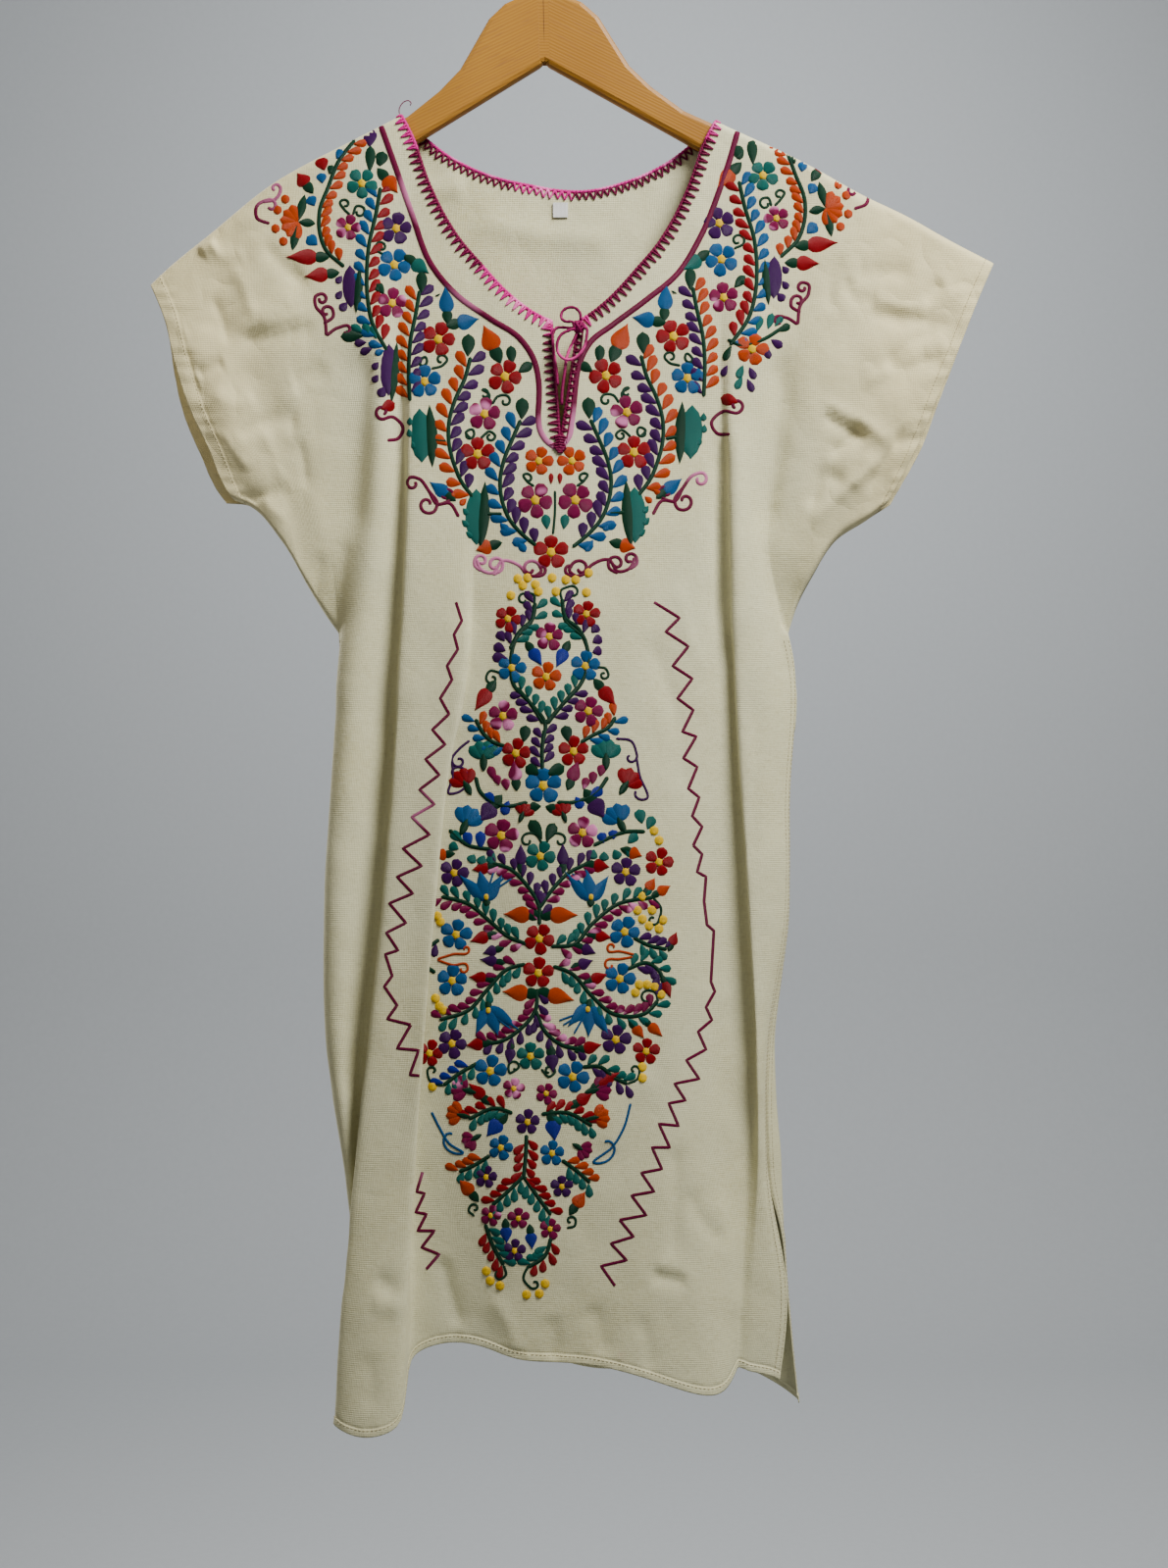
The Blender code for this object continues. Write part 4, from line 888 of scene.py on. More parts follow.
def crease_field(at, creases, scale):
    """Height in millimetres of soft troughs and ridges, sharper in their middle and tapered at their ends."""
    height = np.zeros(len(at))
    for size, *route in rows_of(creases):
        wide, deep = numbers([size])[0]
        gap, share = polyline_field(at, smooth_route(numbers(route), 4))
        taper = ease(np.minimum(share, 1 - share) * CREASE_TAPER)
        slope = 1 - np.minimum(np.sqrt(gap ** 2 + (BLUNT * wide) ** 2) / (FACET * wide), 1.0)
        height += deep * (SOFT_SHARE * np.exp(-(gap / wide) ** 2) + SHARP_SHARE * slope ** SHARPNESS) * taper
    return height * scale


def hand_of_cloth(points, facing):
    """The slight unevenness that hanging cotton keeps everywhere, in millimetres."""
    found = np.empty(len(points))
    for k, (across, _, drop) in enumerate(points):
        found[k] = sum(
            height * noise.noise(Vector((across * wide, drop * tall, facing * lot)))
            for wide, tall, lot, height in UNEVEN
        )
    return found


def band(gap, reach):
    """The share of a hem's thickness at a distance from its edge."""
    return 1 - ease((gap - reach + HEM_FOLD / 2) / HEM_FOLD)


def groove(gap, reach):
    """The share of the groove's depth at a distance from the hem's edge."""
    return np.exp(-((gap - reach - GROOVE_OFF) / GROOVE_WIDE) ** 2)


def cloth_relief(cloth):
    """How far each point of a panel stands out from its smooth form, in millimetres."""
    points, (_, top, slit, hem, to_cuff) = cloth.points, cloth.measures.T
    if cloth.facing < 0:
        height = crease_field(to_photo(points), FRONT_CREASES, FRONT_CREASE_SCALE)
    else:
        height = crease_field(points[:, ::2], BACK_CREASES, BACK_CREASE_SCALE)
    is_cuff = to_cuff < FAR - 1
    to_hem = np.minimum(hem, to_cuff)
    near_hem = CREASED_AT_HEM + CREASED_MORE * ease(to_hem / HEM_CALM_REACH)
    calm = ease(top / CALM_REACH) * ease(slit / CALM_REACH) * near_hem
    height = (height + hand_of_cloth(points, cloth.facing)) * calm
    cuff = np.where(points[:, 0] < 0, CUFF_BAND[-1], CUFF_BAND[1])
    reach = np.where(is_cuff, cuff, HEM_BAND)
    wave = np.where(is_cuff, points[:, 2] * CUFF_WAVE, points[:, 0] * HEM_WAVE)
    within = np.exp(-((to_hem - PUCKER_AT * reach) / (PUCKER_WIDE * reach)) ** 2)
    pucker = np.sin(wave + WAVE_SHIFT * np.sin(SHIFT_PACE * wave)) * within
    puckered = np.where(is_cuff, CUFF_PUCKER, HEM_PUCKER) * pucker
    height += puckered * ease(top / CALM_REACH) * ease(to_hem / PUCKER_FROM_EDGE)
    ruck = RUCK * np.sin(points[:, 0] * RUCK_ACROSS + points[:, 2] * RUCK_DOWN)
    low = points[:, 2] > SLIT_TOP_DROP - ABOVE_SLIT
    height += HEM_RISE * band(to_hem, reach) * ease(top / RISE_BELOW_TOP)
    height -= (HEM_GROOVE + ruck) * groove(to_hem, reach) * ease(top / GROOVE_BELOW_TOP)
    height += np.where(low, SLIT_RISE * band(slit, SLIT_BAND), 0.0)
    height -= np.where(low, (SLIT_GROOVE + ruck) * groove(slit, SLIT_BAND), 0.0)
    return height


def build_cloth(cloth):
    """A panel's shell, and the face that embroidery, crochet and stitches are laid onto."""
    cloth.build()
    uvs = np.stack([cloth.measures[:, 0], cloth.points[:, 2]], axis=-1) * MM
    piece = mesh_piece(cloth.name + "_cloth", cloth.points, cloth.quads, uvs)
    normals = np.empty(len(cloth.points) * 3, dtype=np.float32)
    piece.data.vertices.foreach_get("normal", normals)
    cloth.normals = normals.reshape(-1, 3)
    cloth.surface = coords(cloth.points) + cloth.normals * cloth_relief(cloth)[:, None] * MM
    piece.data.vertices.foreach_set("co", cloth.surface.astype(np.float32).ravel())
    piece.data.update()
    faces = [list(map(int, quad)) for quad in cloth.quads]
    cloth.tree = BVHTree.FromPolygons(cloth.surface.tolist(), faces)
    loose_points_off(piece)
    shell = piece.modifiers.new("cloth thickness", "SOLIDIFY")
    shell.thickness = CLOTH_THICK * MM
    shell.offset = -1.0
    return piece


def loose_points_off(piece):
    """Takes out the copies of the placket's column that no face uses."""
    mesh = bmesh.new()
    mesh.from_mesh(piece.data)
    for vertex in [v for v in mesh.verts if not v.link_faces]:
        mesh.verts.remove(vertex)
    mesh.to_mesh(piece.data)
    mesh.free()


class Shade:
    """A procedural material, with short names for its nodes."""

    def __init__(self, name, roughness):
        self.material = bpy.data.materials.new(name)
        self.material.use_nodes = True
        self.tree = self.material.node_tree
        self.shader = self.tree.nodes["Principled BSDF"]
        self.set({"Roughness": roughness})

    def set(self, values):
        for key, value in values.items():
            self.shader.inputs[key].default_value = value

    def add(self, kind, inputs=(), **settings):
        node = self.tree.nodes.new("ShaderNode" + kind)
        for key, value in settings.items():
            setattr(node, key, value)
        for key, value in dict(inputs).items():
            if isinstance(value, bpy.types.NodeSocket):
                self.tree.links.new(value, node.inputs[key])
            else:
                node.inputs[key].default_value = value
        return node

    def scaled(self, vector, scale, turn=(0.0, 0.0, 0.0)):
        inputs = {"Vector": vector, "Scale": scale, "Rotation": turn}
        return self.add("Mapping", inputs).outputs["Vector"]

    def place(self, kind="Object", scale=(1.0, 1.0, 1.0), turn=(0.0, 0.0, 0.0)):
        return self.scaled(self.add("TexCoord").outputs[kind], scale, turn)

    def noise(self, vector, detail=2.0, rough=0.5):
        inputs = {"Vector": vector, "Scale": 1.0, "Detail": detail, "Roughness": rough}
        return self.add("TexNoise", inputs).outputs["Fac"]

    def speckle(self, scale, detail=2.0, rough=0.5):
        """Noise in the object's space, with one scale for all three ways or one for each."""
        scales = scale if isinstance(scale, tuple) else (scale, scale, scale)
        return self.noise(self.place("Object", scales), detail, rough)

    def wave(self, vector, scale, distortion, direction, detail_scale=1.0):
        inputs = {"Vector": vector, "Scale": scale, "Distortion": distortion, "Detail Scale": detail_scale}
        return self.add("TexWave", inputs, bands_direction=direction).outputs["Fac"]

    def maths(self, operation, first, second=0.5):
        return self.add("Math", {0: first, 1: second}, operation=operation).outputs[0]

    def plus(self, first, second):
        return self.maths("ADD", first, second)

    def less(self, first, second):
        return self.maths("SUBTRACT", first, second)

    def times(self, first, second):
        return self.maths("MULTIPLY", first, second)

    def size_of(self, value):
        return self.maths("ABSOLUTE", value)

    def steps(self, factor, low, high):
        inputs = {"Value": factor, "From Min": low, "From Max": high}
        return self.add("MapRange", inputs).outputs["Result"]

    def mix(self, factor, first, second):
        return self.add("Mix", {0: factor, 6: first, 7: second}, data_type="RGBA").outputs[2]

    def finish(self, colour, height, distance, strength, roughness=None):
        self.tree.links.new(colour, self.shader.inputs["Base Color"])
        bump = self.add("Bump", {"Height": height, "Distance": distance, "Strength": strength})
        self.tree.links.new(bump.outputs["Normal"], self.shader.inputs["Normal"])
        if roughness is not None:
            self.tree.links.new(roughness, self.shader.inputs["Roughness"])
        return self.material


def rgba(colour, scale=1.0):
    return (*(min(part * scale, 1.0) for part in colour), 1.0)


# The third cream is painted light on the sleeves: brighter and warmer than the body's.
CREAM, CREAM_WARM, SLEEVE_LIT_CREAM = (0.60, 0.58, 0.37), (0.585, 0.54, 0.29), (0.68, 0.585, 0.31)
# A stain: its place in metres, its reach, its strength and its colour
STAINS = (
    ((0.064, -0.036, -1.141), 0.006, 0.35, (0.62, 0.28, 0.26)),
    ((0.069, -0.037, -1.145), 0.004, 0.3, (0.62, 0.28, 0.26)),
    ((0.095, -0.044, -1.091), 0.0016, 0.7, (0.25, 0.17, 0.09)),
    ((-0.262, -0.012, -0.352), 0.009, 0.16, (0.45, 0.38, 0.22)),
)
CRUMPLE = 20.0


def cotton_material(name):
    """Unbleached plain weave: crossed threads, slubs, small knots, a slightly uneven dye and painted light on the
    sleeves.
    """
    shade = Shade(name, 0.9)
    shade.set({"Sheen Weight": 0.05, "Sheen Roughness": 0.6})
    cloth = shade.place("UV")
    weave = shade.plus(shade.wave(cloth, 230.0, 1.2, "X", 0.6), shade.wave(cloth, 200.0, 1.2, "Y", 0.6))
    slub_across = shade.noise(shade.place("UV", (120.0, 900.0, 1.0)))
    slub_down = shade.noise(shade.place("UV", (1000.0, 140.0, 1.0)))
    slubs = shade.plus(slub_across, slub_down)
    mottle = shade.speckle((9.0, 9.0, 6.0), 3.0, 0.6)
    grain = shade.speckle(300.0, 2.0, 0.7)
    colour = shade.mix(shade.steps(mottle, 0.35, 0.7), rgba(CREAM), rgba(CREAM_WARM))
    colour = shade.mix(shade.steps(slubs, 0.75, 1.35), colour, rgba(CREAM, 1.12))
    colour = shade.mix(shade.times(shade.steps(grain, 0.55, 0.75), 0.35), colour, rgba(CREAM_WARM, 0.72))
    # Painted light: the sleeves, away from the middle and above the underarm, are painted a brighter, warmer cream;
    # the same mask also makes them crumple more.
    place = shade.add("SeparateXYZ", {0: shade.place()}).outputs
    side = shade.size_of(shade.less(place["X"], NECK_MIDDLE * MM))
    sleeve = shade.times(shade.steps(side, 0.16, 0.27), shade.steps(place["Z"], -0.62, -0.50))
    colour = shade.mix(shade.times(sleeve, 0.8), colour, rgba(SLEEVE_LIT_CREAM))
    for spot, reach, strength, stain in STAINS:
        gap = shade.add("VectorMath", {0: shade.place(), 1: spot}, operation="DISTANCE").outputs["Value"]
        ragged = shade.plus(gap, shade.times(shade.less(grain, 0.5), reach))
        colour = shade.mix(shade.times(shade.steps(ragged, reach, 0.0), strength), colour, rgba(stain))
    height = shade.plus(shade.times(weave, 0.6), shade.plus(slubs, shade.times(grain, 1.4)))
    warped = shade.speckle(22.0, 1.0)
    crumple = shade.speckle((38.0, 20.0, 30.0), 1.5, 0.45)
    kinks = shade.size_of(shade.less(crumple, warped))
    much = shade.times(shade.plus(sleeve, 0.35), CRUMPLE)
    height = shade.plus(height, shade.times(kinks, much))
    rough = shade.plus(shade.times(shade.steps(grain, 0.0, 1.6), 0.2), 0.78)
    return shade.finish(colour, height, 0.0003, 0.5, rough)


def thread_material(name, colour, deep, pale, pale_share=0.0, pitch=1900.0, patch_scale=17.0):
    """Satin-stitched thread: fine parallel strands with painted shade between them, dyed unevenly along them."""
    shade = Shade(name, 0.5)
    shade.set({"Specular IOR Level": 0.12})
    strands = shade.wave(shade.place("UV"), pitch / 6.283, 1.5, "X", 1.5)
    fuzz = shade.speckle(900.0, 2.0, 0.6)
    dye = shade.speckle(42.0, 1.0, 0.4)
    # Painted shade: the troughs between the strands, where the bump is lowest, take the deep tone.
    tone = shade.mix(shade.steps(strands, 0.0, 0.8), rgba(deep), rgba(colour))
    tone = shade.mix(shade.times(shade.steps(dye, 0.3, 0.7), 0.35), tone, rgba(deep))
    if pale_share:
        patch = shade.speckle(patch_scale, 0.0)
        tone = shade.mix(shade.steps(patch, 0.66 - pale_share, 0.78 - pale_share), tone, rgba(pale))
    rough = shade.plus(shade.times(fuzz, 0.2), 0.36)
    return shade.finish(tone, shade.plus(strands, shade.times(fuzz, 0.5)), 0.0002, 0.6, rough)


def photo_camera():
    """The camera, as the photograph was taken."""
    eye = bpy.data.cameras.new("camera")
    eye.sensor_width = SENSOR
    eye.lens = SENSOR * PLANE_AWAY / (PHOTO_TALL * MM_PER_PIXEL)
    eye.clip_start = 0.05
    camera = bpy.data.objects.new("camera", eye)
    camera.location = (CAMERA_ACROSS * MM, -CAMERA_AWAY * MM, -CAMERA_DROP * MM)
    camera.rotation_euler = (math.radians(90), 0.0, 0.0)
    bpy.context.scene.collection.objects.link(camera)
    bpy.context.scene.camera = camera


photo_camera()


def tube_mesh(route, radius, sides=8, twist=0.0, lobes=0, lobe=0.0, closed_ends=True):
    """A tube's points and faces along a route of across, depth and drop, with UV along and round it."""
    route = np.asarray(route, float)
    radius = np.broadcast_to(np.asarray(radius, float), (len(route),))
    ways = np.gradient(route, axis=0)
    ways /= np.linalg.norm(ways, axis=1, keepdims=True) + 1e-12
    lengths = lengths_along(route)
    side = np.cross(ways[0], (0.0, 1.0, 0.0))
    if np.linalg.norm(side) < 0.2:
        side = np.cross(ways[0], (0.0, 0.0, 1.0))
    points, uvs = [], []
    for k, way in enumerate(ways):
        side = side - way * (side @ way)
        side /= np.linalg.norm(side) + 1e-12
        up = np.cross(way, side)
        for j in range(sides):
            angle = math.tau * j / sides
            reach = radius[k] * (1 + lobe * math.cos(lobes * angle + twist * lengths[k]))
            points.append(route[k] + reach * (math.cos(angle) * side + math.sin(angle) * up))
            uvs.append((lengths[k] * MM, j / sides * 0.004))
    faces = []
    for k in range(len(route) - 1):
        for j in range(sides):
            i = (j + 1) % sides
            faces.append((k * sides + j, k * sides + i, (k + 1) * sides + i, (k + 1) * sides + j))
    if closed_ends:
        faces.append(tuple(range(sides))[::-1])
        faces.append(tuple((len(route) - 1) * sides + j for j in range(sides)))
    return np.array(points), faces, np.array(uvs)


def round_route(route, step):
    """Points every step along the smooth curve through a route of across, depth and drop."""
    count = max(4, round(lengths_along(route)[-1] / step))
    return along_points(route, np.linspace(0.0, 1.0, count + 1))


# Each deep tone serves for a thread's uneven dye and for the painted shade between its strands.
MAGENTA, MAGENTA_DEEP, MAGENTA_PALE = (0.20, 0.001, 0.055), (0.09, 0.001, 0.026), (0.58, 0.04, 0.24)
PINK, PINK_DEEP, PINK_PALE = (0.66, 0.015, 0.27), (0.40, 0.004, 0.15), (0.80, 0.14, 0.44)
TIE_MAGENTA, TIE_DEEP = (0.26, 0.002, 0.085), (0.12, 0.001, 0.04)
crochet_dark = thread_material("crochet_magenta", MAGENTA, MAGENTA_DEEP, MAGENTA_PALE)
crochet_pink = thread_material("crochet_pink", PINK, PINK_DEEP, PINK_PALE, 0.1, patch_scale=60.0)
tie_thread = thread_material("tie_magenta", TIE_MAGENTA, TIE_DEEP, MAGENTA_PALE, 0.1, patch_scale=50.0)

# Tie: each length is two plies twisted together, and the knot is one more turn of cord
CORD_PLIES = {"twist": 1.25, "lobes": 2, "lobe": 0.14}
PLY_SHARE = 0.93
KNOT_ENDS = {
    "ring": ([], [(27.6, -19.4, 325.4)]), "loop": ([(32.6, -19.0, 327.8)], [(26.8, -20.6, 328.8)]),
    "tail_right": ([(29.0, -18.9, 329.4)], []), "tail_left": ([(27.2, -18.6, 327.4)], []),
}
KNOT_TURNS, KNOT_HALF, KNOT_HALF_DEEP, KNOT_STEPS, KNOT_CORD = 5.0, 3.9, 3.0, 120, 1.25


def knot_route():
    """A cord wound over the knot's core: turns go round while the winding's axis leans over."""
    route = []
    for k in range(KNOT_STEPS + 1):
        share = k / KNOT_STEPS
        angle = KNOT_TURNS * math.tau * share
        tilt = math.pi * (share * 1.7 + 0.1)
        x, z = math.cos(angle), math.sin(angle)
        route.append((
            KNOT[0] + KNOT_HALF * (x * math.cos(tilt) * 0.9 + 0.25 * math.sin(2 * angle)),
            KNOT[1] + KNOT_HALF_DEEP * (x * math.sin(tilt) * 0.9),
            KNOT[2] + KNOT_HALF * z,
        ))
    return np.array(route)


def tie():
    """The four lengths of cord, then the knot's turns over their ends."""
    lengths = {}
    for name, route in CORDS.items():
        start, end = KNOT_ENDS[name]
        path = round_route([*start, *route, *end], CORD_STEP)
        cord = tube_mesh(path, CORD_DIAMETER / 2 * PLY_SHARE, 12, **CORD_PLIES)
        piece = mesh_piece("tie_" + name + "_cord", *cord)
        lengths[name] = settle(piece, tie_thread, "crochet", "tie_" + name), path
    knot = mesh_piece("tie_knot_turns", *tube_mesh(knot_route(), KNOT_CORD, 10, **CORD_PLIES))
    settle(knot, tie_thread, "crochet", "tie_knot")
    for name, (piece, path) in lengths.items():
        far_end = "bare" if name.startswith("tail") else "knot"
        extra = [knot] if name == "loop" else []
        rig.cord(
            piece, exit=coords(path[:1])[0], length=lengths_along(path)[-1] * MM, diameter=CORD_DIAMETER * MM,
            far_end=far_end, stiffness="limp", lay="hanging", path=coords(path).tolist(), with_pieces=extra,
        )


tie()

cotton = cotton_material("unbleached_cotton_weave")
front = Cloth("front", -1, FRONT_LINES, NECK_FRONT, CUFFS_FRONT, True)
front_piece = settle(build_cloth(front), cotton, "cotton", "front")
back = Cloth("back", 1, BACK_PANEL_LINES, NECK_BACK, CUFFS_BACK, False)
back_piece = settle(build_cloth(back), cotton, "cotton", "back")
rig.sheet(front_piece, flat=(0.68, 1.04), held="hung", rests_on=["hanger_left", "hanger_right"], area=0.47)
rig.sheet(back_piece, flat=(0.68, 1.0), held="hung", rests_on=["hanger_left", "hanger_right"], area=0.45)


# Embroidery. Places are pixels of the photograph; a motif is laid out in the usual manner.
HEIGHTS = {"petal": 1.0, "leaf": 0.9, "stem": 0.95, "thin": 0.75, "line": 0.62, "satin": 1.15, "heart": 1.5}
# A thread: its name, its colour, its deep tone for uneven dye and painted shade between strands, and its pale tone if
# it has one
THREADS = {
    "r": ("red", (0.27, 0.001, 0.007), (0.11, 0.001, 0.003), None),
    "o": ("orange", (0.45, 0.050, 0.004), (0.23, 0.020, 0.002), None),
    "b": ("blue", (0.001, 0.088, 0.25), (0.001, 0.034, 0.105), None),
    "k": ("royal", (0.004, 0.020, 0.26), (0.002, 0.008, 0.11), None),
    "p": ("purple", (0.048, 0.004, 0.082), (0.018, 0.001, 0.033), None),
    "t": ("teal", (0.001, 0.118, 0.098), (0.001, 0.046, 0.040), None),
    "g": ("green", (0.001, 0.040, 0.018), (0.001, 0.015, 0.007), None),
    "m": ("magenta", (0.19, 0.001, 0.055), (0.08, 0.001, 0.022), (0.60, 0.18, 0.38)),
    "y": ("yellow", (0.80, 0.52, 0.001), (0.52, 0.29, 0.001), None),
    "w": ("wine", (0.150, 0.001, 0.040), (0.065, 0.001, 0.018), (0.50, 0.15, 0.30)),
}
# Thread: its share of pale patches, how close its strands lie, and how often its dye changes
PALE_SHARE, THREAD_PITCH = 0.055, 4400.0
WINE_PATCHES, PETAL_PATCHES = 17.0, 75.0
PANEL_TURN, PANEL_END = 13.5, 25.0
PANEL_STARTS, PANEL_DEPTH, PAST_TURN = 480, -30.0, 0.03
FRONT_STOPS = 0.004
FACE_DEPTH = 4.5
SUNK = 0.14
ROUNDED_HALF = 1.1
PETALS = 5
FAN_PETALS, FAN_SPREAD = 4, 1.5
STEM_HALF, STEM_OFF = 2.4, 1.6


def to_camera(normals):
    return normals * -np.sign(normals[:, 1:2] + 1e-9)


def by_ray(pixels):
    """Points and normals of the front that the camera sees at pixels, and which rays met it."""
    start = Vector((CAMERA_ACROSS * MM, -CAMERA_AWAY * MM, -CAMERA_DROP * MM))
    found, normals, met = np.zeros((len(pixels), 3)), np.zeros((len(pixels), 3)), np.zeros(len(pixels), bool)
    for k, (across, drop) in enumerate(camera_ray(pixels)):
        place, normal, _, _ = front.tree.ray_cast(start, Vector((across, 1.0, -drop)).normalized())
        if place is not None and place.y < FRONT_STOPS:
            found[k], normals[k], met[k] = place, normal, True
    return found / MM, to_camera(normals), met


def by_panel(pixels):
    """The same on the flower panel, where the fold beside it may hide it from the camera."""
    depth = np.full(len(pixels), PANEL_DEPTH)
    ways = camera_ray(pixels)
    for _ in range(4):
        across = CAMERA_ACROSS + ways[:, 0] * (depth + CAMERA_AWAY)
        drop = CAMERA_DROP + ways[:, 1] * (depth + CAMERA_AWAY)
        place = front.loft.place_through(across, drop, PANEL_TURN, PANEL_END)
        depth = front.loft.at(place, drop)[1]
    met = (place > PANEL_TURN + PAST_TURN) & (drop > PANEL_STARTS)
    found, normals = np.zeros((len(pixels), 3)), np.zeros((len(pixels), 3))
    for k in range(len(pixels)):
        near, normal, _, _ = front.tree.find_nearest(Vector((across[k], depth[k], -drop[k])) * MM)
        found[k], normals[k] = near, normal
    return found / MM, to_camera(normals), met


MAPPERS = {"yoke": by_ray, "panel": by_panel}


class Embroidery:
    """Patches of thread, kept in pixels until they are all laid onto the cloth."""

    def __init__(self):
        self.patches = []

    def patch(self, colour, spine, half, height, where, across=5, radial=False):
        """A raised patch along a spine, with its strands across it, or along it where radial."""
        spine = np.asarray(spine, float)
        half = np.maximum(np.broadcast_to(np.asarray(half, float), (len(spine),)), 0.06)
        way = np.gradient(spine, axis=0)
        way /= np.linalg.norm(way, axis=1, keepdims=True) + 1e-9
        side = np.stack([-way[:, 1], way[:, 0]], axis=-1)
        shares = np.linspace(-1.0, 1.0, across)
        grid = spine[:, None, :] + side[:, None, :] * half[:, None, None] * shares[None, :, None]
        dome = np.sqrt(np.maximum(1 - shares ** 2, 0.0))[None, :]
        lift = height * (dome * np.minimum(1.0, half / ROUNDED_HALF)[:, None] ** 0.5) - SUNK
        run = lengths_along(spine)[:, None] * MM_PER_PIXEL * MM + 0 * lift
        off = half[:, None] * shares[None, :] * MM_PER_PIXEL * MM
        uvs = np.stack([off + 0.3, run] if radial else [run, off], axis=-1)
        row = colour, where, grid.reshape(-1, 2), lift.ravel(), uvs.reshape(-1, 2), grid.shape[:2]
        self.patches.append(row)

    def drop(self, colour, base, tip, half, where, lean_out=1.45, blunt=0.62, height=None, radial=False):
        """A leaf, petal or seed from its base to its tip, widest past its middle."""
        base, tip = np.asarray(base, float), np.asarray(tip, float)
        t = np.linspace(0.0, 1.0, 8)
        spine = base + (tip - base) * t[:, None]
        width = half * np.sin(math.pi * t ** lean_out).clip(0) ** blunt
        self.patch(colour, spine, width, height or HEIGHTS["leaf"], where, 5, radial)

    def flower(self, colour, x, y, r, where, turn=0.0):
        """Five slightly uneven petals round a yellow heart."""
        here = np.array([x, y])
        for k in range(PETALS):
            angle = turn + math.tau * k / PETALS
            way = np.array([math.sin(angle), -math.cos(angle)])
            wide = 0.455 * r * (1 + 0.05 * math.sin(3 * k + x))
            long = 1.08 * r * (1 + 0.04 * math.cos(2 * k + y))
            base, tip = here + way * 0.14 * r, here + way * long
            self.drop(colour, base, tip, wide, where, 1.5, 0.46, HEIGHTS["petal"], True)
        self.disc("y", x, y, 0.31 * r, where, HEIGHTS["heart"])

    def disc(self, colour, x, y, r, where, height=1.0):
        t = np.linspace(-1.0, 1.0, 7)
        spine = np.stack([x + 0 * t, y + r * t], axis=-1)
        self.patch(colour, spine, r * np.sqrt(1 - t * t), height, where)

    def bud(self, colour, base, tip, half, where, calyx="g"):
        """A pointed bud with a long thin tip, held by a dark calyx at its base."""
        base, tip = np.asarray(base, float), np.asarray(tip, float)
        t = np.linspace(0.0, 1.0, 10)
        spine = base + (tip - base) * t[:, None]
        width = half * (np.sin(math.pi * t ** 0.62).clip(0) ** 1.25) + 0.35 * (1 - t)
        self.patch(colour, spine, width, HEIGHTS["petal"], where)
        if calyx:
            back_way = (base - tip) / np.linalg.norm(base - tip)
            start = base + back_way * half * 1.3
            self.drop(calyx, start, base - back_way * half * 0.7, half * 0.72, where, 1.2, 0.7)

    def line(self, colour, route, half, where, height, step=1.6):
        """An even line of thread, narrower at both ends."""
        route = smooth_route(np.asarray(route, float), 10)
        count = max(4, round(lengths_along(route)[-1] / step))
        t = np.linspace(0, 1, count + 1)
        width = half * np.minimum(1.0, np.minimum(t, 1 - t) * count / 1.2 + 0.3)
        self.patch(colour, along_points(route, t), width, height, where, 4)

    def sprig(self, stem, left, right, where, gap, ahead, long, wide):
        """A stem with a row of leaves on each side, which point on along it, or back with ahead -1."""
        route = smooth_route(np.asarray(stem, float), 10)
        self.line("g", stem, STEM_HALF, where, HEIGHTS["stem"])
        total = lengths_along(route)[-1]
        for row, (colour, side) in enumerate(((left, 1), (right, -1))):
            at = 5.0 + row * gap * 0.45
            k = 0
            while colour != NO_LEAVES and at < total:
                here, later = along_points(route, [at / total, min(at / total + 0.02, 1.0)])
                way = later - here
                if np.linalg.norm(way) < 1e-6:
                    break
                way /= np.linalg.norm(way)
                out = np.array([way[1], -way[0]]) * side
                base = here + out * STEM_OFF
                size = long * (1 + 0.1 * math.sin(1.7 * k + 2 * row))
                tip = base + (out * 0.7 + way * 0.72 * ahead) * size
                self.drop(colour, base, tip, wide, where, 1.7, 0.5)
                at += gap
                k += 1

    def curl(self, colour, route, centre, r, turns, where, half, way):
        """A fine line that ends in a small loop round a centre."""
        centre = np.asarray(centre, float)
        first = route[-1] - centre
        angle = math.atan2(first[1], first[0])
        loop = []
        for k in range(1, 12):
            share = k / 11
            reach = mix(np.linalg.norm(first), r * 0.35, share)
            turned = angle + way * turns * math.tau * share
            loop.append(centre + reach * np.array([math.cos(turned), math.sin(turned)]))
        self.line(colour, [*route, *loop], half, where, HEIGHTS["thin"], 1.2)

    def fan(self, colour, base, aim, size, where):
        """A flower seen from the side: petals fan out from a green cup."""
        base, aim = np.asarray(base, float), np.asarray(aim, float)
        angle = math.atan2(*(aim - base)[::-1])
        for k in range(FAN_PETALS):
            share = k / (FAN_PETALS - 1) - 0.5
            turned = angle + FAN_SPREAD * share
            way = np.array([math.cos(turned), math.sin(turned)])
            long = size * (1 - 0.12 * abs(share))
            self.drop(colour, base + way * size * 0.12, base + way * long, size * 0.29, where, 1.25, 0.5)
        way = np.array([math.cos(angle), math.sin(angle)])
        cup = base - way * size * 0.5, base + way * size * 0.42
        self.drop("g", *cup, size * 0.2, where, 0.9, 0.9, 1.25)

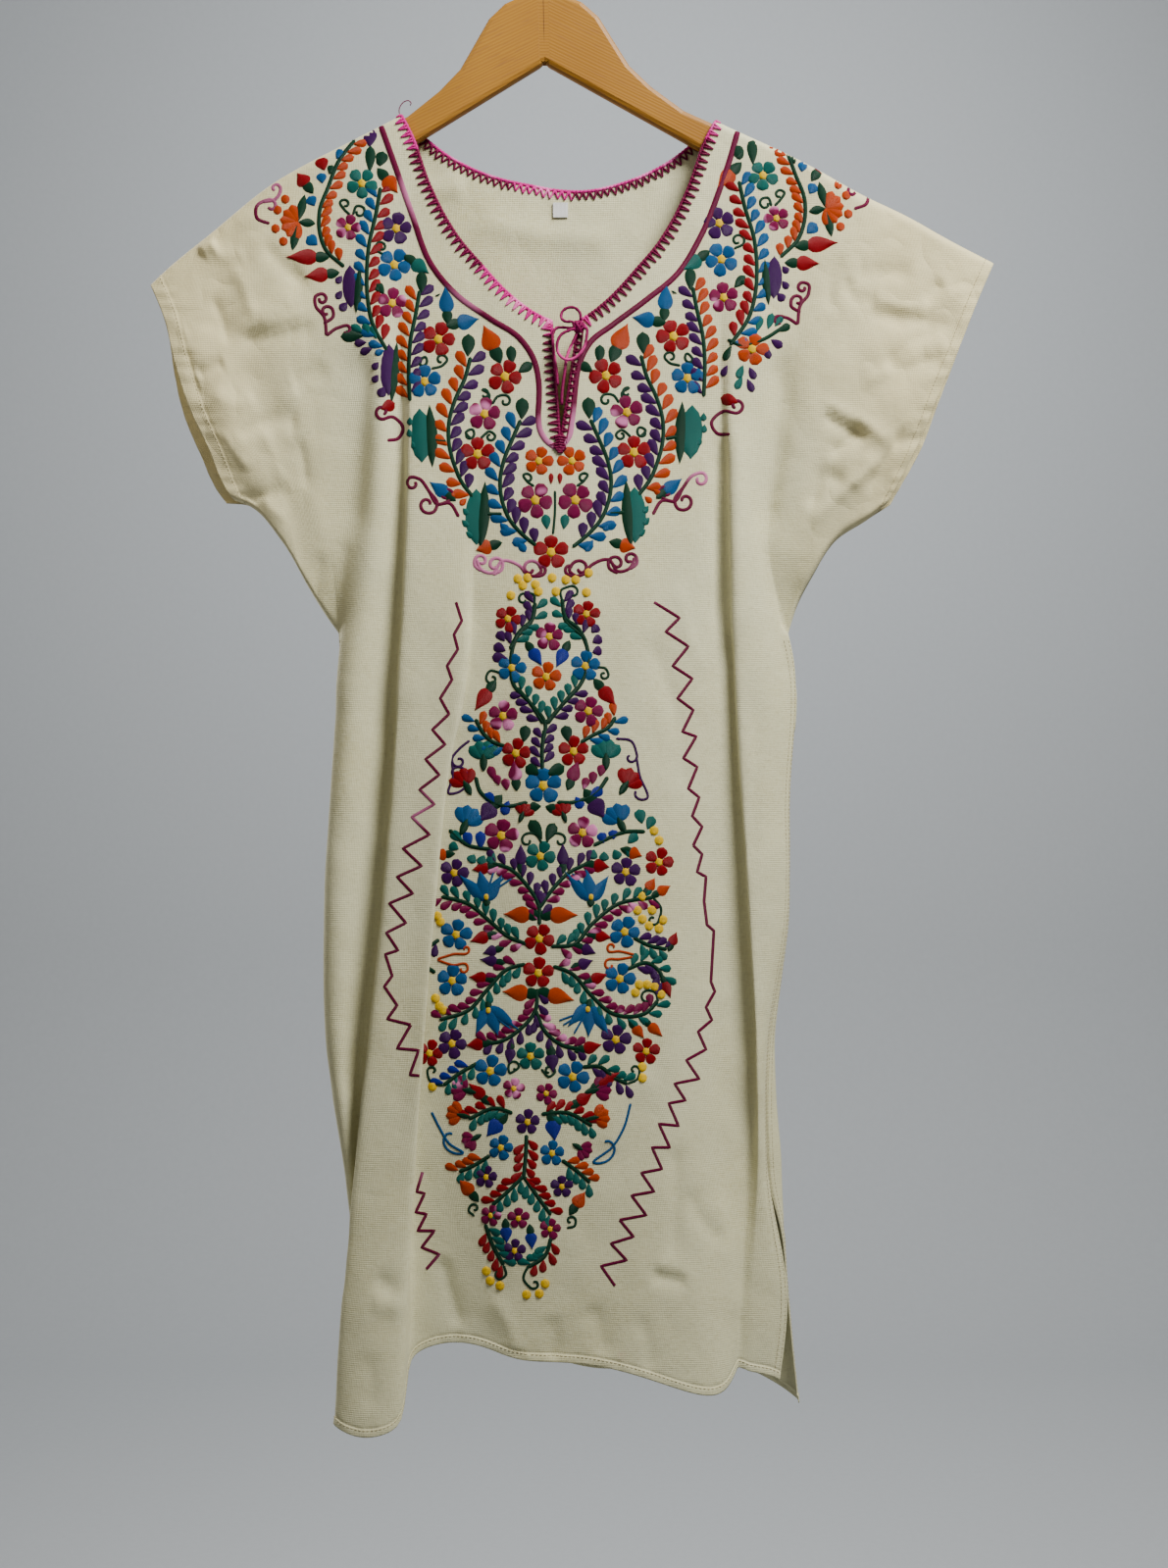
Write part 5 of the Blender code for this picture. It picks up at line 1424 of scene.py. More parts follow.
    def build(self):
        """Lays the patches onto the cloth: for each thread its points, quads and UV pairs."""
        cloth_points = {}
        for where, mapper in MAPPERS.items():
            mine = [k for k, patch in enumerate(self.patches) if patch[1] == where]
            found, normals, met = mapper(np.concatenate([self.patches[k][2] for k in mine]))
            start = 0
            for k in mine:
                stop = start + len(self.patches[k][2])
                cloth_points[k] = found[start:stop], normals[start:stop], met[start:stop]
                start = stop
        gathered = {}
        for k, (colour, _, _, lift, uvs, (rows, columns)) in enumerate(self.patches):
            found, normals, met = cloth_points[k]
            places = found + normals * lift[:, None]
            index = np.arange(rows * columns).reshape(rows, columns)
            corners = [index[:-1, :-1], index[:-1, 1:], index[1:, 1:], index[1:, :-1]]
            quads = np.stack([c.ravel() for c in corners], axis=-1)
            quads = quads[met[quads].all(axis=1) & (np.ptp(found[:, 1][quads], axis=1) < FACE_DEPTH)]
            if not len(quads):
                continue
            used, quads = np.unique(quads, return_inverse=True)
            quads, places, uvs = quads.reshape(-1, 4), places[used], uvs[used]
            store = gathered.setdefault(colour, ([], [], [], [0]))
            store[0].append(places * (1, 1, -1))
            store[1].append(quads + store[3][0])
            store[2].append(uvs)
            store[3][0] += len(places)
        return gathered


work = Embroidery()


# The line that the yoke mirrors in, and how the right half rises, at pixels across of the left half
MIRROR_LINE = (290, 370, 400, 430, 550), (573, 573.5, 569, 567, 566.4)
MIRROR_RISE = (290, 370, 430, 550), (-15, -8, -3.5, 0)


def mirror_yoke(points):
    """The right half of the yoke's layout, which mirrors its left half."""
    points = np.asarray(points, float)
    axis = np.interp(points[..., 0], *MIRROR_LINE)
    rise = np.interp(points[..., 0], *MIRROR_RISE)
    return np.stack([2 * axis - points[..., 0], points[..., 1] + rise], axis=-1)


def same(points):
    return np.asarray(points, float)


def marks(text):
    """Motifs of a layout: a letter for the thread's colour, then numbers."""
    return [(word[0], [float(n) for n in word[1:].split(",")]) for word in text.split()]


# A flower: x, y, radius and turn. A bud or leaf: x and y of its base and tip, and half its width
YOKE_FLOWERS = """p404,233,13.5,0.2 b402,270,14,0.5 m400,309,13,0.1 r447,346,14.5,0.3 b433,389,14,0
r515,384,14.5,0.4 m494,422,14,0.15 r487,463,14.5,0 o549.5,470,12.2,0.3 m546,510,15,0.5 m355,232,11,0.3
t369,187,13,0.6"""
YOKE_BUDS = """b456,320,454,291,7 b465,330,489,325,7.5 o505,358,493,331,9 t420,266,438,279,7
b457,505,438,491,6.5 o502,556,485,561,7 r313,189,303,176,7 r325,262,291,262,7.5 r336,279,310,282,7
o392,180,406,197,7.5"""
YOKE_LEAVES = """r388,417,403,411,6 g522,372,521,352,5 g528,380,543,370,5 g447,302,446,300,3
g430,300,430,276,5.5 g477,364,478,340,6.5 g532,428,533,405,6.5 o468,501,460,506,3.2 o476,508,469,515,3.2
b510,533,518,542,4 b528,551,536,563,4 t418,425,418,434,3 t417,437,418,446,3 t420,450,424,458,3.2
t424,461,430,467,3 t472,518,478,525,3.4 t471,530,478,537,3.4 t475,542,483,548,3.4 t558,540,556,524,4.5
g387,170,391,154,6 g384,160,390,168,4 p377,150,377,130,7 g377,176,378,148,5 b343,162,349,152,4.5
b329,187,327,176,5 b321,210,315,200,5.5 b324,250,313,241,6 r331,174,326,160,6.5 g336,178,339,168,4
p349,281,343,289,3.6 p349,296,343,305,3.6 p354,308,347,317,4.4 p386,369,380,377,3.6 p386,382,380,390,3.6
p392,394,387,405,5 g372,342,347,343,6 t371,340,358,331,4 t377,342,371,329,4 t384,346,379,331,4
p374,349,361,350,4 p380,355,367,360,4 b386,350,376,352,3.5 b392,357,382,361,3.5 g388,290,384,297,4.5
g392,300,383,288,4.5"""
# The lens-shaped motifs: base, tip and half width of the body and of its sepal, and the sepal's height
YOKE_LENSES = """t428,416,430,472,12.5,438,412,441,477,7.5,1.3 t486,498,486,556,12.5,495,490,490,562,7.5,1.3
p357,270,358,314,9,367,272,363,320,5.5,1.25 p397,350,396,404,10,405,348,399,412,6,1.25"""
# A sprig: the colours of its two rows of leaves, their spacing, length and half width, and the stem
NO_LEAVES = "-"
YOKE_SPRIGS = """o p 12.5 17 5.2 428,296 424,320 419,345 417,375 418,409 /
o p 13.8 18 5.8 480,364 474,386 464,408 458,430 458,453 463,473 470,490 484,509 /
b p 13.8 18 5.8 531,428 522,449 514,469 510,490 512,510 520,530 533,545 549,558 /
- o 10.5 14.5 4.9 362,142 345,165 335,190 326,215 326,236 332,254 351,272 /
b r 13 16.5 5.3 388,191 384,215 376,252 374,280 375,305 380,330 395,358"""
# A curl: colour, the loop's radius, turns, way round and centre, and the line that leads to it
YOKE_CURLS = """w 7 0.8 -1 421,493 468,527 458,513 446,514 437,500 427,488 418,487 /
w 5 0.8 1 276,210 275,228 262,222 262,210 272,204 / w 4.5 0.8 -1 281,192 268,206 282,202 286,194 /
w 5 0.8 1 328,305 333,342 330,322 322,312 322,302 330,300 /
w 7 0.9 1 390,420 395,449 406,447 411,437 400,425 388,427 /
w 4 0.5 -1 551,580 486,570 491,581 503,584 512,572 530,577 538,586 556,583 /
w 5 0.9 -1 505,576 503,586 512,580 512,572 / w 5 0.9 -1 541,580 545,588 552,582 548,574 /
w 4 0.8 1 491,572 491,582 484,576 486,568 / w 5 0.9 1 436,514 437,500 446,514 442,522 /
w 5 0.8 -1 455,505 446,515 458,510 462,503 / w 4 0.8 -1 333,318 330,330 340,322 338,314 /
w 3 0.5 1 352,337 333,342 345,334 356,333 / g 4 0.7 1 430,369 433,376 428,370 434,364 /
g 5 0.8 -1 450,367 440,376 452,372 456,366 / g 4 0.8 1 494,402 498,410 499,402 492,397 /
g 4 0.8 1 515,409 502,412 508,404 518,404 / g 4 0.8 1 478,443 480,447 475,441 482,438 /
g 4 0.8 1 500,445 490,447 500,440 505,445 / g 4 0.8 1 352,208 357,219 350,212 347,206 /
g 4 0.7 1 366,216 360,219 364,210 371,212 / g 4 0.8 1 389,252 392,260 384,254 385,248 /
g 4 0.8 1 538,488 545,496 537,490 534,484"""
YOKE_STALKS = ((441, 448), (455, 450)), ((496, 524), (512, 524))
# The small orange fan: its foot, the beads round it and the tips of its leaves
YOKE_FAN = (304, 226)
FAN_BEADS = (291, 203), (283, 214), (281, 233), (289, 246)
FAN_LEAVES = (311, 198), (322, 228), (298, 256)
LEFT_ONLY_ACROSS, LEFT_ONLY_TOP, LEFT_ONLY_END = 394, 330, 400
RIGHT_LEAVES = """t772,338,776,322,4.6 t783,336,788,319,4.6 t790,333,798,322,4 g794,338,806,331,4.6
p786,346,798,354,5 p779,352,785,366,4.4 t758,372,752,386,4.6 t757,384,750,397,4.4 p764,374,770,387,4.6
p762,386,768,400,4.4 g746,352,738,368,4.4 p742,372,736,384,4"""
# The right half's own flower and stem, and the red flower below the placket with its stem and buds
RIGHT_FLOWER, RIGHT_STEM = (767, 356, 16), ((742, 346), (756, 352), (776, 347), (801, 332))
MIDDLE_FLOWER, MIDDLE_STEM = (562, 563, 17), ((566, 500), (566, 520), (564, 545))
MIDDLE_BUDS = ((562, 494), (562, 482)), ((571, 494), (571, 482))
YOKE_FLOWER, YOKE_BUD, YOKE_LEAF = 1.16, 1.2, 1.2


def curls(text, side, where, fine, turned=1):
    """The curls of a layout. Those of wine thread on the yoke are the thickest."""
    for colour, r, turns, way, centre, *route in rows_of(text):
        half = 2.1 if colour == "w" else fine
        line, middle = side(numbers(route)), side(numbers([centre]))[0]
        work.curl(colour, line, middle, float(r), float(turns), where, half, turned * int(way))


def yoke_half(side):
    """The yoke's left half, or with side as mirror_yoke its right one."""
    flip = side is mirror_yoke
    turned = -1 if flip else 1
    for colour, (x, y, r, turn) in marks(YOKE_FLOWERS):
        work.flower(colour, *side([x, y]), YOKE_FLOWER * r, "yoke", turned * turn)
    for colour, (x0, y0, x1, y1, half) in marks(YOKE_BUDS):
        work.bud(colour, side([x0, y0]), side([x1, y1]), YOKE_BUD * half, "yoke")
    for colour, (x0, y0, x1, y1, half) in marks(YOKE_LEAVES):
        if not (flip and x0 < LEFT_ONLY_ACROSS and LEFT_ONLY_TOP < y0 < LEFT_ONLY_END):
            work.drop(colour, side([x0, y0]), side([x1, y1]), YOKE_LEAF * half, "yoke")
    for left, right, gap, long, wide, *stem in rows_of(YOKE_SPRIGS):
        colours = (left, right) if flip else (right, left)
        work.sprig(side(numbers(stem)), *colours, "yoke", float(gap), -1, float(long), float(wide))
    curls(YOKE_CURLS, side, "yoke", 1.7, turned)
    for colour, row in marks(YOKE_LENSES)[:-1 if flip else None]:
        work.drop(colour, side(row[:2]), side(row[2:4]), row[4], "yoke", 1.0, 0.6, 1.1)
        work.drop("g", side(row[5:7]), side(row[7:9]), row[9], "yoke", 1.0, 1.0, row[10])
    for stalk in YOKE_STALKS:
        work.line("g", side(stalk), 2.2, "yoke", 1.0)
    fan = side(YOKE_FAN)
    for k in range(6):
        angle = math.pi * (0.62 + 0.17 * k)
        step = np.array([math.cos(angle) * turned, -math.sin(angle)])
        work.drop("o", fan, fan + step * 19, 6.2, "yoke", 1.2, 0.5)
    for bead in FAN_BEADS:
        work.disc("o", *side(bead), 5.0, "yoke")
    for tip in FAN_LEAVES:
        work.drop("g", fan, side(tip), 5.2, "yoke", 1.1, 0.9)


def yoke():
    """Both halves, the flowers that only the right half has, and the red flower in the middle."""
    yoke_half(same)
    yoke_half(mirror_yoke)
    work.flower("o", *RIGHT_FLOWER, "yoke", 0.3)
    work.line("g", RIGHT_STEM, 2.2, "yoke", 0.95)
    for colour, (x0, y0, x1, y1, half) in marks(RIGHT_LEAVES):
        work.drop(colour, (x0, y0), (x1, y1), half, "yoke", 1.6, 0.5)
    work.flower("r", *MIDDLE_FLOWER, "yoke", 0.0)
    work.line("g", MIDDLE_STEM, 1.5, "yoke", 1.0)
    for base, tip in MIDDLE_BUDS:
        work.drop("r", base, tip, 3.0, "yoke")


yoke()

PANEL_FLOWERS = """m560,649,13,0.1 r518,631,12,0.4 r598,626,12,0.2 b522,681,13.5,0.3 b597,679,14,0.1
o557,690,13.5,0.2 m513,730,14,0.1 m600,725,14,0.3 r526,768,14,0.2 r585,766,14,0 b554,801,17.5,0
m511,852,16,0.2 m594,849,14.5,0.1 t551,873,14,0.4 p463,890,13,0.3 p638,889,13.5,0.1 r672,879,13,0.3
r550,957,14.3,0.5 r549,992,14.3,0.1 b465,953,14.5,0.2 b637,950,14.5,0.4 b461,1000,14.5,0.1
b632,998,14.5,0.3 p461,1064,13.5,0.4 p628,1060,14,0.2 r659,1072,12,0.1 r438,1074,12,0.3 t541,1077,13,0
b500,1092,15,0.2 b584,1098,15,0.4 m524,1110,9,0.2 m557,1115,9,0.4 p538,1144,11,0.1 b511,1170,11,0.3
b563,1176,11,0.1 p496,1200,9.5,0.2 p573,1210,9.5,0 m501,1239,9,0.3 m529,1242,9,0 m561,1253,9,0.2
p525,1275,9.5,0.1"""
PANEL_BUDS = """k541,661,553,679,6.5 k577,661,567,681,6.5 r500,702,484,725,7.5 r612,700,628,720,7.5
m526,797,524,775,7 m582,797,590,775,7 p504,820,489,838,9 p603,815,617,835,9.5 p531,883,531,860,6
p574,883,574,859,6 r499,884,481,887,6.5 r604,882,622,884,7 o456,871,443,872,6 o641,868,655,873,6.5
o542,933,513,932,8.5 o559,933,590,933,8.5 o660,908,668,895,5.5 o670,911,684,903,5.5 r499,954,479,960,6.5
r606,954,624,956,6 p507,968,492,972,5.5 p592,966,608,972,6 p508,981,489,978,5.5 p589,985,605,979,6
r497,998,478,996,6.5 r602,1000,620,993,6 o540,1013,512,1011,8.5 o557,1013,586,1020,8.5
r494,1064,475,1066,6.5 r594,1070,614,1065,6.5 p521,1068,519,1086,5.5 p562,1074,564,1094,7
o646,1046,657,1059,5.5 o661,1044,676,1057,5.5 r684,964,690,950,5 r677,1000,684,1018,5
r494,1120,478,1104,6.5 r588,1125,605,1114,6.5 k511,1142,496,1159,8 k563,1141,566,1164,8
o482,1218,468,1202,7 o586,1231,597,1215,7 k516,1250,517,1268,6 k541,1256,543,1274,6
r609,1107,633,1093,6.5"""
PANEL_LEAVES = """p515,654,509,646,4 p516,664,506,659,4.2 p518,672,505,670,4.2 p603,645,609,639,4
p604,655,612,651,4 p604,665,612,663,4 g534,757,536,743,4.5 g580,757,577,743,4.5 m505,796,500,784,3.6
m509,801,506,792,3.4 m517,806,515,796,3.6 m595,805,598,795,3.4 m604,800,605,789,3.6 m612,792,614,782,3.8
k506,820,497,811,4 k519,816,514,828,4 k587,812,592,822,4 k600,812,612,806,4.2 g552,822,542,823,4
g556,822,565,825,4 g553,856,543,840,5 g557,858,564,843,4.6 g551,790,539,783,5 g557,790,572,783,5
t472,858,462,850,4 t468,866,460,862,4 k480,862,476,851,4 k490,866,490,851,4.2 t484,871,480,878,4
t494,872,490,880,4 t504,869,500,879,4 k616,860,613,851,4 k626,856,625,848,4 t606,866,604,874,4
t616,868,616,876,4 t626,866,630,874,4 t640,860,648,852,4 t636,866,644,870,4 t655,840,652,828,4.6
t660,846,665,835,4"""
# A fan: x and y of its base and of a point that it aims at, and its size
PANEL_FANS = """t493,776,493,760,16 t618,775,618,758,16 r476,802,470,790,15 r637,802,645,790,15
r532,832,538,818,11 r575,832,570,818,11 b474,842,480,828,16 b633,840,626,826,16 m478,1112,462,1108,14
m605,1112,620,1108,14 o472,1137,458,1134,13 o605,1140,620,1137,13 m485,1160,474,1166,11
m590,1170,600,1176,11"""
# The panel's sprigs all have leaves of one size, so a row is the two colours, the spacing and the stem
PANEL_SPRIGS = """- - 9 553,789 553,760 556,738 540,716 524,698 521,678 527,650 542,633 545,616 /
- - 9 556,738 573,719 594,694 600,672 596,652 577,633 573,612 / p p 8.8 553,787 553,762 555,744 /
p t 9.2 554,738 540,716 527,701 / t p 9.2 558,738 573,719 590,700 /
p t 9 520,662 530,644 543,631 546,614 / t p 9 598,655 590,641 577,630 573,610 /
b o 9 519,762 500,755 491,745 485,733 / o b 9 592,757 606,749 620,742 628,731 /
m p 9.5 550,943 550,926 535,900 520,886 502,880 / p m 9.5 550,926 565,905 580,890 600,880 /
m t 9.5 538,963 518,955 500,940 478,922 450,914 / t m 9.5 562,965 585,963 604,942 630,922 666,915 /
p t 8.5 646,956 662,964 680,968 / t p 8.5 640,988 660,982 672,990 677,1002 /
p t 8.5 448,958 436,966 428,970 / t p 8.5 444,992 434,986 428,984 /
t m 9.5 536,983 518,988 498,1008 478,1030 448,1040 /
m t 9.5 564,985 582,992 604,1016 626,1034 660,1032 671,1020 /
p m 9.5 548,1008 546,1030 530,1050 510,1062 494,1064 / m p 9.5 546,1030 556,1052 574,1066 594,1070 /
t k 9 487,1084 468,1095 452,1107 / t p 9 594,1088 612,1088 628,1100 640,1105 /
t r 8 523,1135 506,1130 478,1141 / r t 8 552,1136 579,1135 604,1148 /
r r 8.5 537,1157 536,1180 534,1201 / t r 8.5 534,1199 519,1214 502,1229 /
r t 8.5 534,1199 544,1214 562,1239 / t o 8 500,1178 484,1188 468,1195 /
o t 8 573,1183 588,1194 602,1206 / t r 8 495,1248 502,1268 514,1290 / r t 8 562,1262 556,1280 539,1292 /
- - 9 458,846 478,862 500,866 / - - 9 605,862 640,848 658,848 / - - 9 485,792 489,806 515,822 538,818 /
- - 9 620,792 610,806 585,818 568,818"""
PANEL_CURLS = """g 5 0.8 -1 534,611 545,617 544,606 536,605 /
g 5 0.8 1 584,604 573,612 572,602 580,598 / g 5 0.8 -1 502,692 510,686 500,684 496,692 /
g 4 0.8 1 616,688 608,680 618,682 620,690 / g 5 0.8 -1 538,857 553,860 545,850 537,850 /
g 5 0.8 1 571,857 557,860 563,850 571,850 / p 5 0.9 -1 468,776 479,755 468,764 461,775 /
p 4 0.8 -1 464,790 461,776 462,792 458,809 / p 4 0.8 1 643,772 628,753 644,756 649,768 /
p 3 0.3 1 650,806 649,772 652,790 658,815 / o 4 0.7 -1 475,968 446,978 462,973 478,970 /
o 4 0.7 1 472,988 446,979 462,984 476,984 / o 4 0.7 1 624,966 649,974 632,970 620,969 /
o 4 0.7 -1 622,984 649,975 632,978 618,980 / g 6 0.85 1 666,938 666,915 674,926 672,938 /
g 6 0.85 -1 660,1017 671,1022 668,1012 660,1010 / g 4 0.8 1 525,1088 528,1090 520,1094 520,1084 /
g 4 0.8 -1 560,1092 552,1090 560,1098 566,1092 /
b 4 0.5 1 462,1158 440,1134 448,1150 458,1166 472,1176 /
b 4 0.5 -1 616,1166 643,1125 636,1150 624,1170 606,1186 /
g 4 0.8 1 441,1092 452,1107 440,1104 436,1094 / g 4 0.8 -1 647,1091 640,1105 650,1100 652,1092 /
g 3 0.8 1 510,1299 514,1290 516,1300 508,1304 / g 4 0.8 -1 545,1309 539,1290 534,1304 540,1312 /
g 3 0.7 1 484,1232 484,1240 478,1234 482,1228 / g 3 0.7 -1 582,1245 578,1252 586,1250 586,1242"""
TULIPS = (
    ("496,925 496,900", 1), ("602,925 604,900", -1), ("497,1020 500,1044", -1), ("602,1018 596,1044", 1),
)
TULIP_PETALS = (-0.95, 31, 7.0), (-0.2, 36, 8.5), (0.55, 30, 7.0)
TULIP_THREADS = (1.0, 34), (1.5, 28), (0.3, 44)
PANEL_DOTS = """528,590 533,597 538,589 546,596 549,603 563,589 567,603 577,591 587,591 600,584 598,604
521,607 667,847 672,857 655,914 665,928 650,928 655,937 662,944 676,938 672,947 652,1004 660,1004
668,1006 648,1012 674,1014 446,934 449,940 444,1018 448,1026 452,1030 655,1088 655,1099 441,1108
496,1296 500,1306 510,1311 537,1320 550,1319 556,1309"""
PANEL_FLOWER, PANEL_FLOWER_MORE = 0.86, 3.0
PANEL_BUD, PANEL_LEAF, LEAF_MORE, PANEL_FAN = 1.1, 1.45, 0.26, 1.4
SPRIG_GAP, SPRIG_LONG, SPRIG_WIDE = 1.12, 14.2, 4.6


def tulip(base, top, side):
    """A blue tulip: three pointed petals, three fine threads beside them, a green foot and a dot."""
    way = top - base
    way /= np.linalg.norm(way)
    across = np.array([-way[1], way[0]])
    for lean_way, long, half in TULIP_PETALS:
        work.bud("b", base + way * 6, base + way * 4 + (way + across * lean_way) * long, half, "panel", None)
    for lean_way, long in TULIP_THREADS:
        start = base + way * 12
        end = start + (way + across * lean_way * side) * long * 0.62
        work.line("b", [start, end], 1.3, "panel", 0.8)
    work.drop("g", base, base + (top - base) * 0.45, 4.5, "panel", 0.9, 0.8, 1.2)
    work.disc("y", *(base + (top - base) * 0.42), 3.6, "panel", 1.7)


def panel_motifs():
    """Everything on the panel below the yoke, down to the dots at its foot."""
    for colour, (x, y, r, turn) in marks(PANEL_FLOWERS):
        work.flower(colour, x, y, PANEL_FLOWER * r + PANEL_FLOWER_MORE, "panel", turn)
    for colour, (x0, y0, x1, y1, half) in marks(PANEL_BUDS):
        work.bud(colour, (x0, y0), (x1, y1), PANEL_BUD * half, "panel")
    for colour, (x0, y0, x1, y1, half) in marks(PANEL_LEAVES):
        tip = (x1 + LEAF_MORE * (x1 - x0), y1 + LEAF_MORE * (y1 - y0))
        work.drop(colour, (x0, y0), tip, PANEL_LEAF * half, "panel", 1.6, 0.5)
    for left, right, gap, *stem in rows_of(PANEL_SPRIGS):
        work.sprig(numbers(stem), left, right, "panel", SPRIG_GAP * float(gap), 1, SPRIG_LONG, SPRIG_WIDE)
    curls(PANEL_CURLS, same, "panel", 1.6)
    for colour, (x0, y0, x1, y1, size) in marks(PANEL_FANS):
        work.fan(colour, (x0, y0), (x1, y1), PANEL_FAN * size, "panel")
    for route, side in TULIPS:
        tulip(*numbers(route.split()), side)
    for x, y in numbers(PANEL_DOTS.split()):
        work.disc("y", x, y, 5.1, "panel", 1.3)


panel_motifs()

# Fine lines: the zigzags beside the flowers, and the satin line that follows the neck
ZIGZAGS = """667,614 693,630 679,644 702,659 686,679 706,692 691,712 707,724 696,746 710,751 697,773
711,782 702,804 713,813 706,832 716,843 707,862 716,871 711,889 720,894 718,919 721,943 728,949 725,1001
729,1011 720,1027 726,1040 712,1052 720,1070 700,1081 713,1100 688,1105 699,1122 682,1125 692,1148
672,1146 683,1170 665,1170 675,1192 654,1196 667,1215 644,1219 659,1239 632,1244 646,1261 623,1268
639,1285 613,1291 627,1311 /
465,614 471,633 463,647 467,662 456,679 461,693 449,712 458,728 441,744 454,759 434,774 448,790
428,805 443,820 420,833 438,851 411,865 430,883 405,894 421,911 397,921 414,941 394,951 406,969 393,973
400,995 392,1006 405,1025 395,1039 419,1045 405,1069 427,1071 418,1096 428,1097 /
431,1195 425,1215 433,1217 424,1236 435,1238 426,1255 443,1255 430,1272 448,1279 435,1294"""
ZIGZAG_HALF, ZIGZAG_STEP = 1.95, 2.4
SATIN = """388,127 404,172 420,218 440,270 465,300 500,325 530,345 543.7,365 549.6,392 549.6,408 549,425
551,439 557,449 566,456 /
752,135 745,160 735,190 715,240 690,280 660,305 625,331 602,349 594.7,361 590,374 586.5,398 585,414
583,430 580.6,444 575,453"""
SATIN_HALF = 3.25


def fine_lines():
    """The zigzags and the satin line, each in short lengths."""
    for route in rows_of(ZIGZAGS):
        corners = numbers(route)
        spine = [corners[0]]
        for a, b in zip(corners, corners[1:]):
            steps = max(2, round(np.linalg.norm(b - a) / ZIGZAG_STEP))
            spine += [a + (b - a) * (k + 1) / steps for k in range(steps)]
        for k in range(0, len(spine) - 1, 24):
            work.patch("w", np.array(spine[k:k + 25]), ZIGZAG_HALF, HEIGHTS["line"], "yoke", 4)
    for route in rows_of(SATIN):
        spine = smooth_route(numbers(route), 12)
        for k in range(0, len(spine) - 1, 20):
            work.patch("w", spine[k:k + 21], SATIN_HALF, HEIGHTS["satin"], "yoke", 6)


fine_lines()
for key, (points, quads, uvs, _) in work.build().items():
    name, colour, deep, pale = THREADS[key]
    patches = WINE_PATCHES if key == "w" else PETAL_PATCHES
    share = PALE_SHARE if pale else 0.0
    thread = thread_material("thread_" + name, colour, deep, pale or colour, share, THREAD_PITCH, patches)
    piece = mesh_piece("thread_" + name, np.concatenate(points), np.concatenate(quads), np.concatenate(uvs))
    settle(piece, thread, "crochet")


class Strands:
    """Tubes of thread gathered into one piece, each with the number of its material."""

    def __init__(self):
        self.points, self.faces, self.uvs, self.tones, self.count = [], [], [], [], 0

    def add(self, route, radius, tone=0, sides=6, **more):
        points, faces, uvs = tube_mesh(route, radius, sides, **more)
        self.faces += [tuple(self.count + i for i in face) for face in faces]
        self.tones += [tone] * len(faces)
        self.points.append(points)
        self.uvs.append(uvs)
        self.count += len(points)

    def build(self, name, materials, slot, *replaced):
        points = np.concatenate(self.points) * (1, 1, -1)
        piece = mesh_piece(name, points, self.faces, np.concatenate(self.uvs))
        settle(piece, materials[0], slot, *replaced)
        for material in materials[1:]:
            piece.data.materials.append(material)
        piece.data.polygons.foreach_set("material_index", np.array(self.tones, dtype=np.int32))


class Edge:
    """An edge of a panel in millimetres of the row frame, read by the length along it."""

    def __init__(self, cloth, places, normals):
        self.cloth, self.places, self.normals = cloth, places, normals
        self.lengths = lengths_along(places)
        self.length = self.lengths[-1]
        self.sign = min((-1.0, 1.0), key=self.miss)

    def miss(self, sign):
        """How far two points a little way in lie from the cloth, when in is on this side."""
        self.sign = sign
        inside = [self.inward(s, 4.0) for s in (30.0, 60.0)]
        return sum(np.linalg.norm(place - self.on_cloth(place, 0.0)) for place in inside)

    def read(self, values, s):
        return np.array([np.interp(s, self.lengths, values[:, k]) for k in range(3)])

    def at(self, s):
        place, normal = self.read(self.places, s), self.read(self.normals, s)
        way = self.read(self.places, s + 1.5) - self.read(self.places, s - 1.5)
        return place, normal / np.linalg.norm(normal), way / (np.linalg.norm(way) + 1e-9)

    def inward(self, s, reach):
        place, normal, way = self.at(s)
        out = np.cross(way, normal) * self.sign
        return place + out / (np.linalg.norm(out) + 1e-9) * reach

    def on_cloth(self, place, lift):
        near, normal, _, _ = self.cloth.tree.find_nearest(Vector(place * MM))
        normal = normal * (1.0 if normal.y * self.cloth.facing > 0 else -1.0)
        return np.array(near + normal * (lift * MM)) / MM


TOOTH_LIFT = 0.5
TOOTH_RADII = (1.0, 0.95, 0.85, 0.7, 0.5)
TOOTH_SHARES = (0.0, 0.3, 0.6, 0.85, 1.0)
LEAST_TOOTH = 1.5
TOOTH_DRIFT, TOOTH_UNEVEN, TOOTH_FOOT = 0.35, 0.07, 0.2
CHAIN_STEP, CHAIN_OUT = 0.75, 0.25
BEAD_RADIUS, BEAD_LONG, BEAD_LEAST, BEAD_MORE = 1.45, 3.1, 0.8, 0.32
NECK_PITCH, NECK_SPREAD, NECK_TOOTH = 5.9, 2.6, 8.0
SLIT_TOOTH_LEFT, SLIT_TOOTH_RIGHT = 7.6, 4.2
BACK_PITCH, BACK_SPREAD, BACK_TOOTH = 5.6, 5.4, 7.0


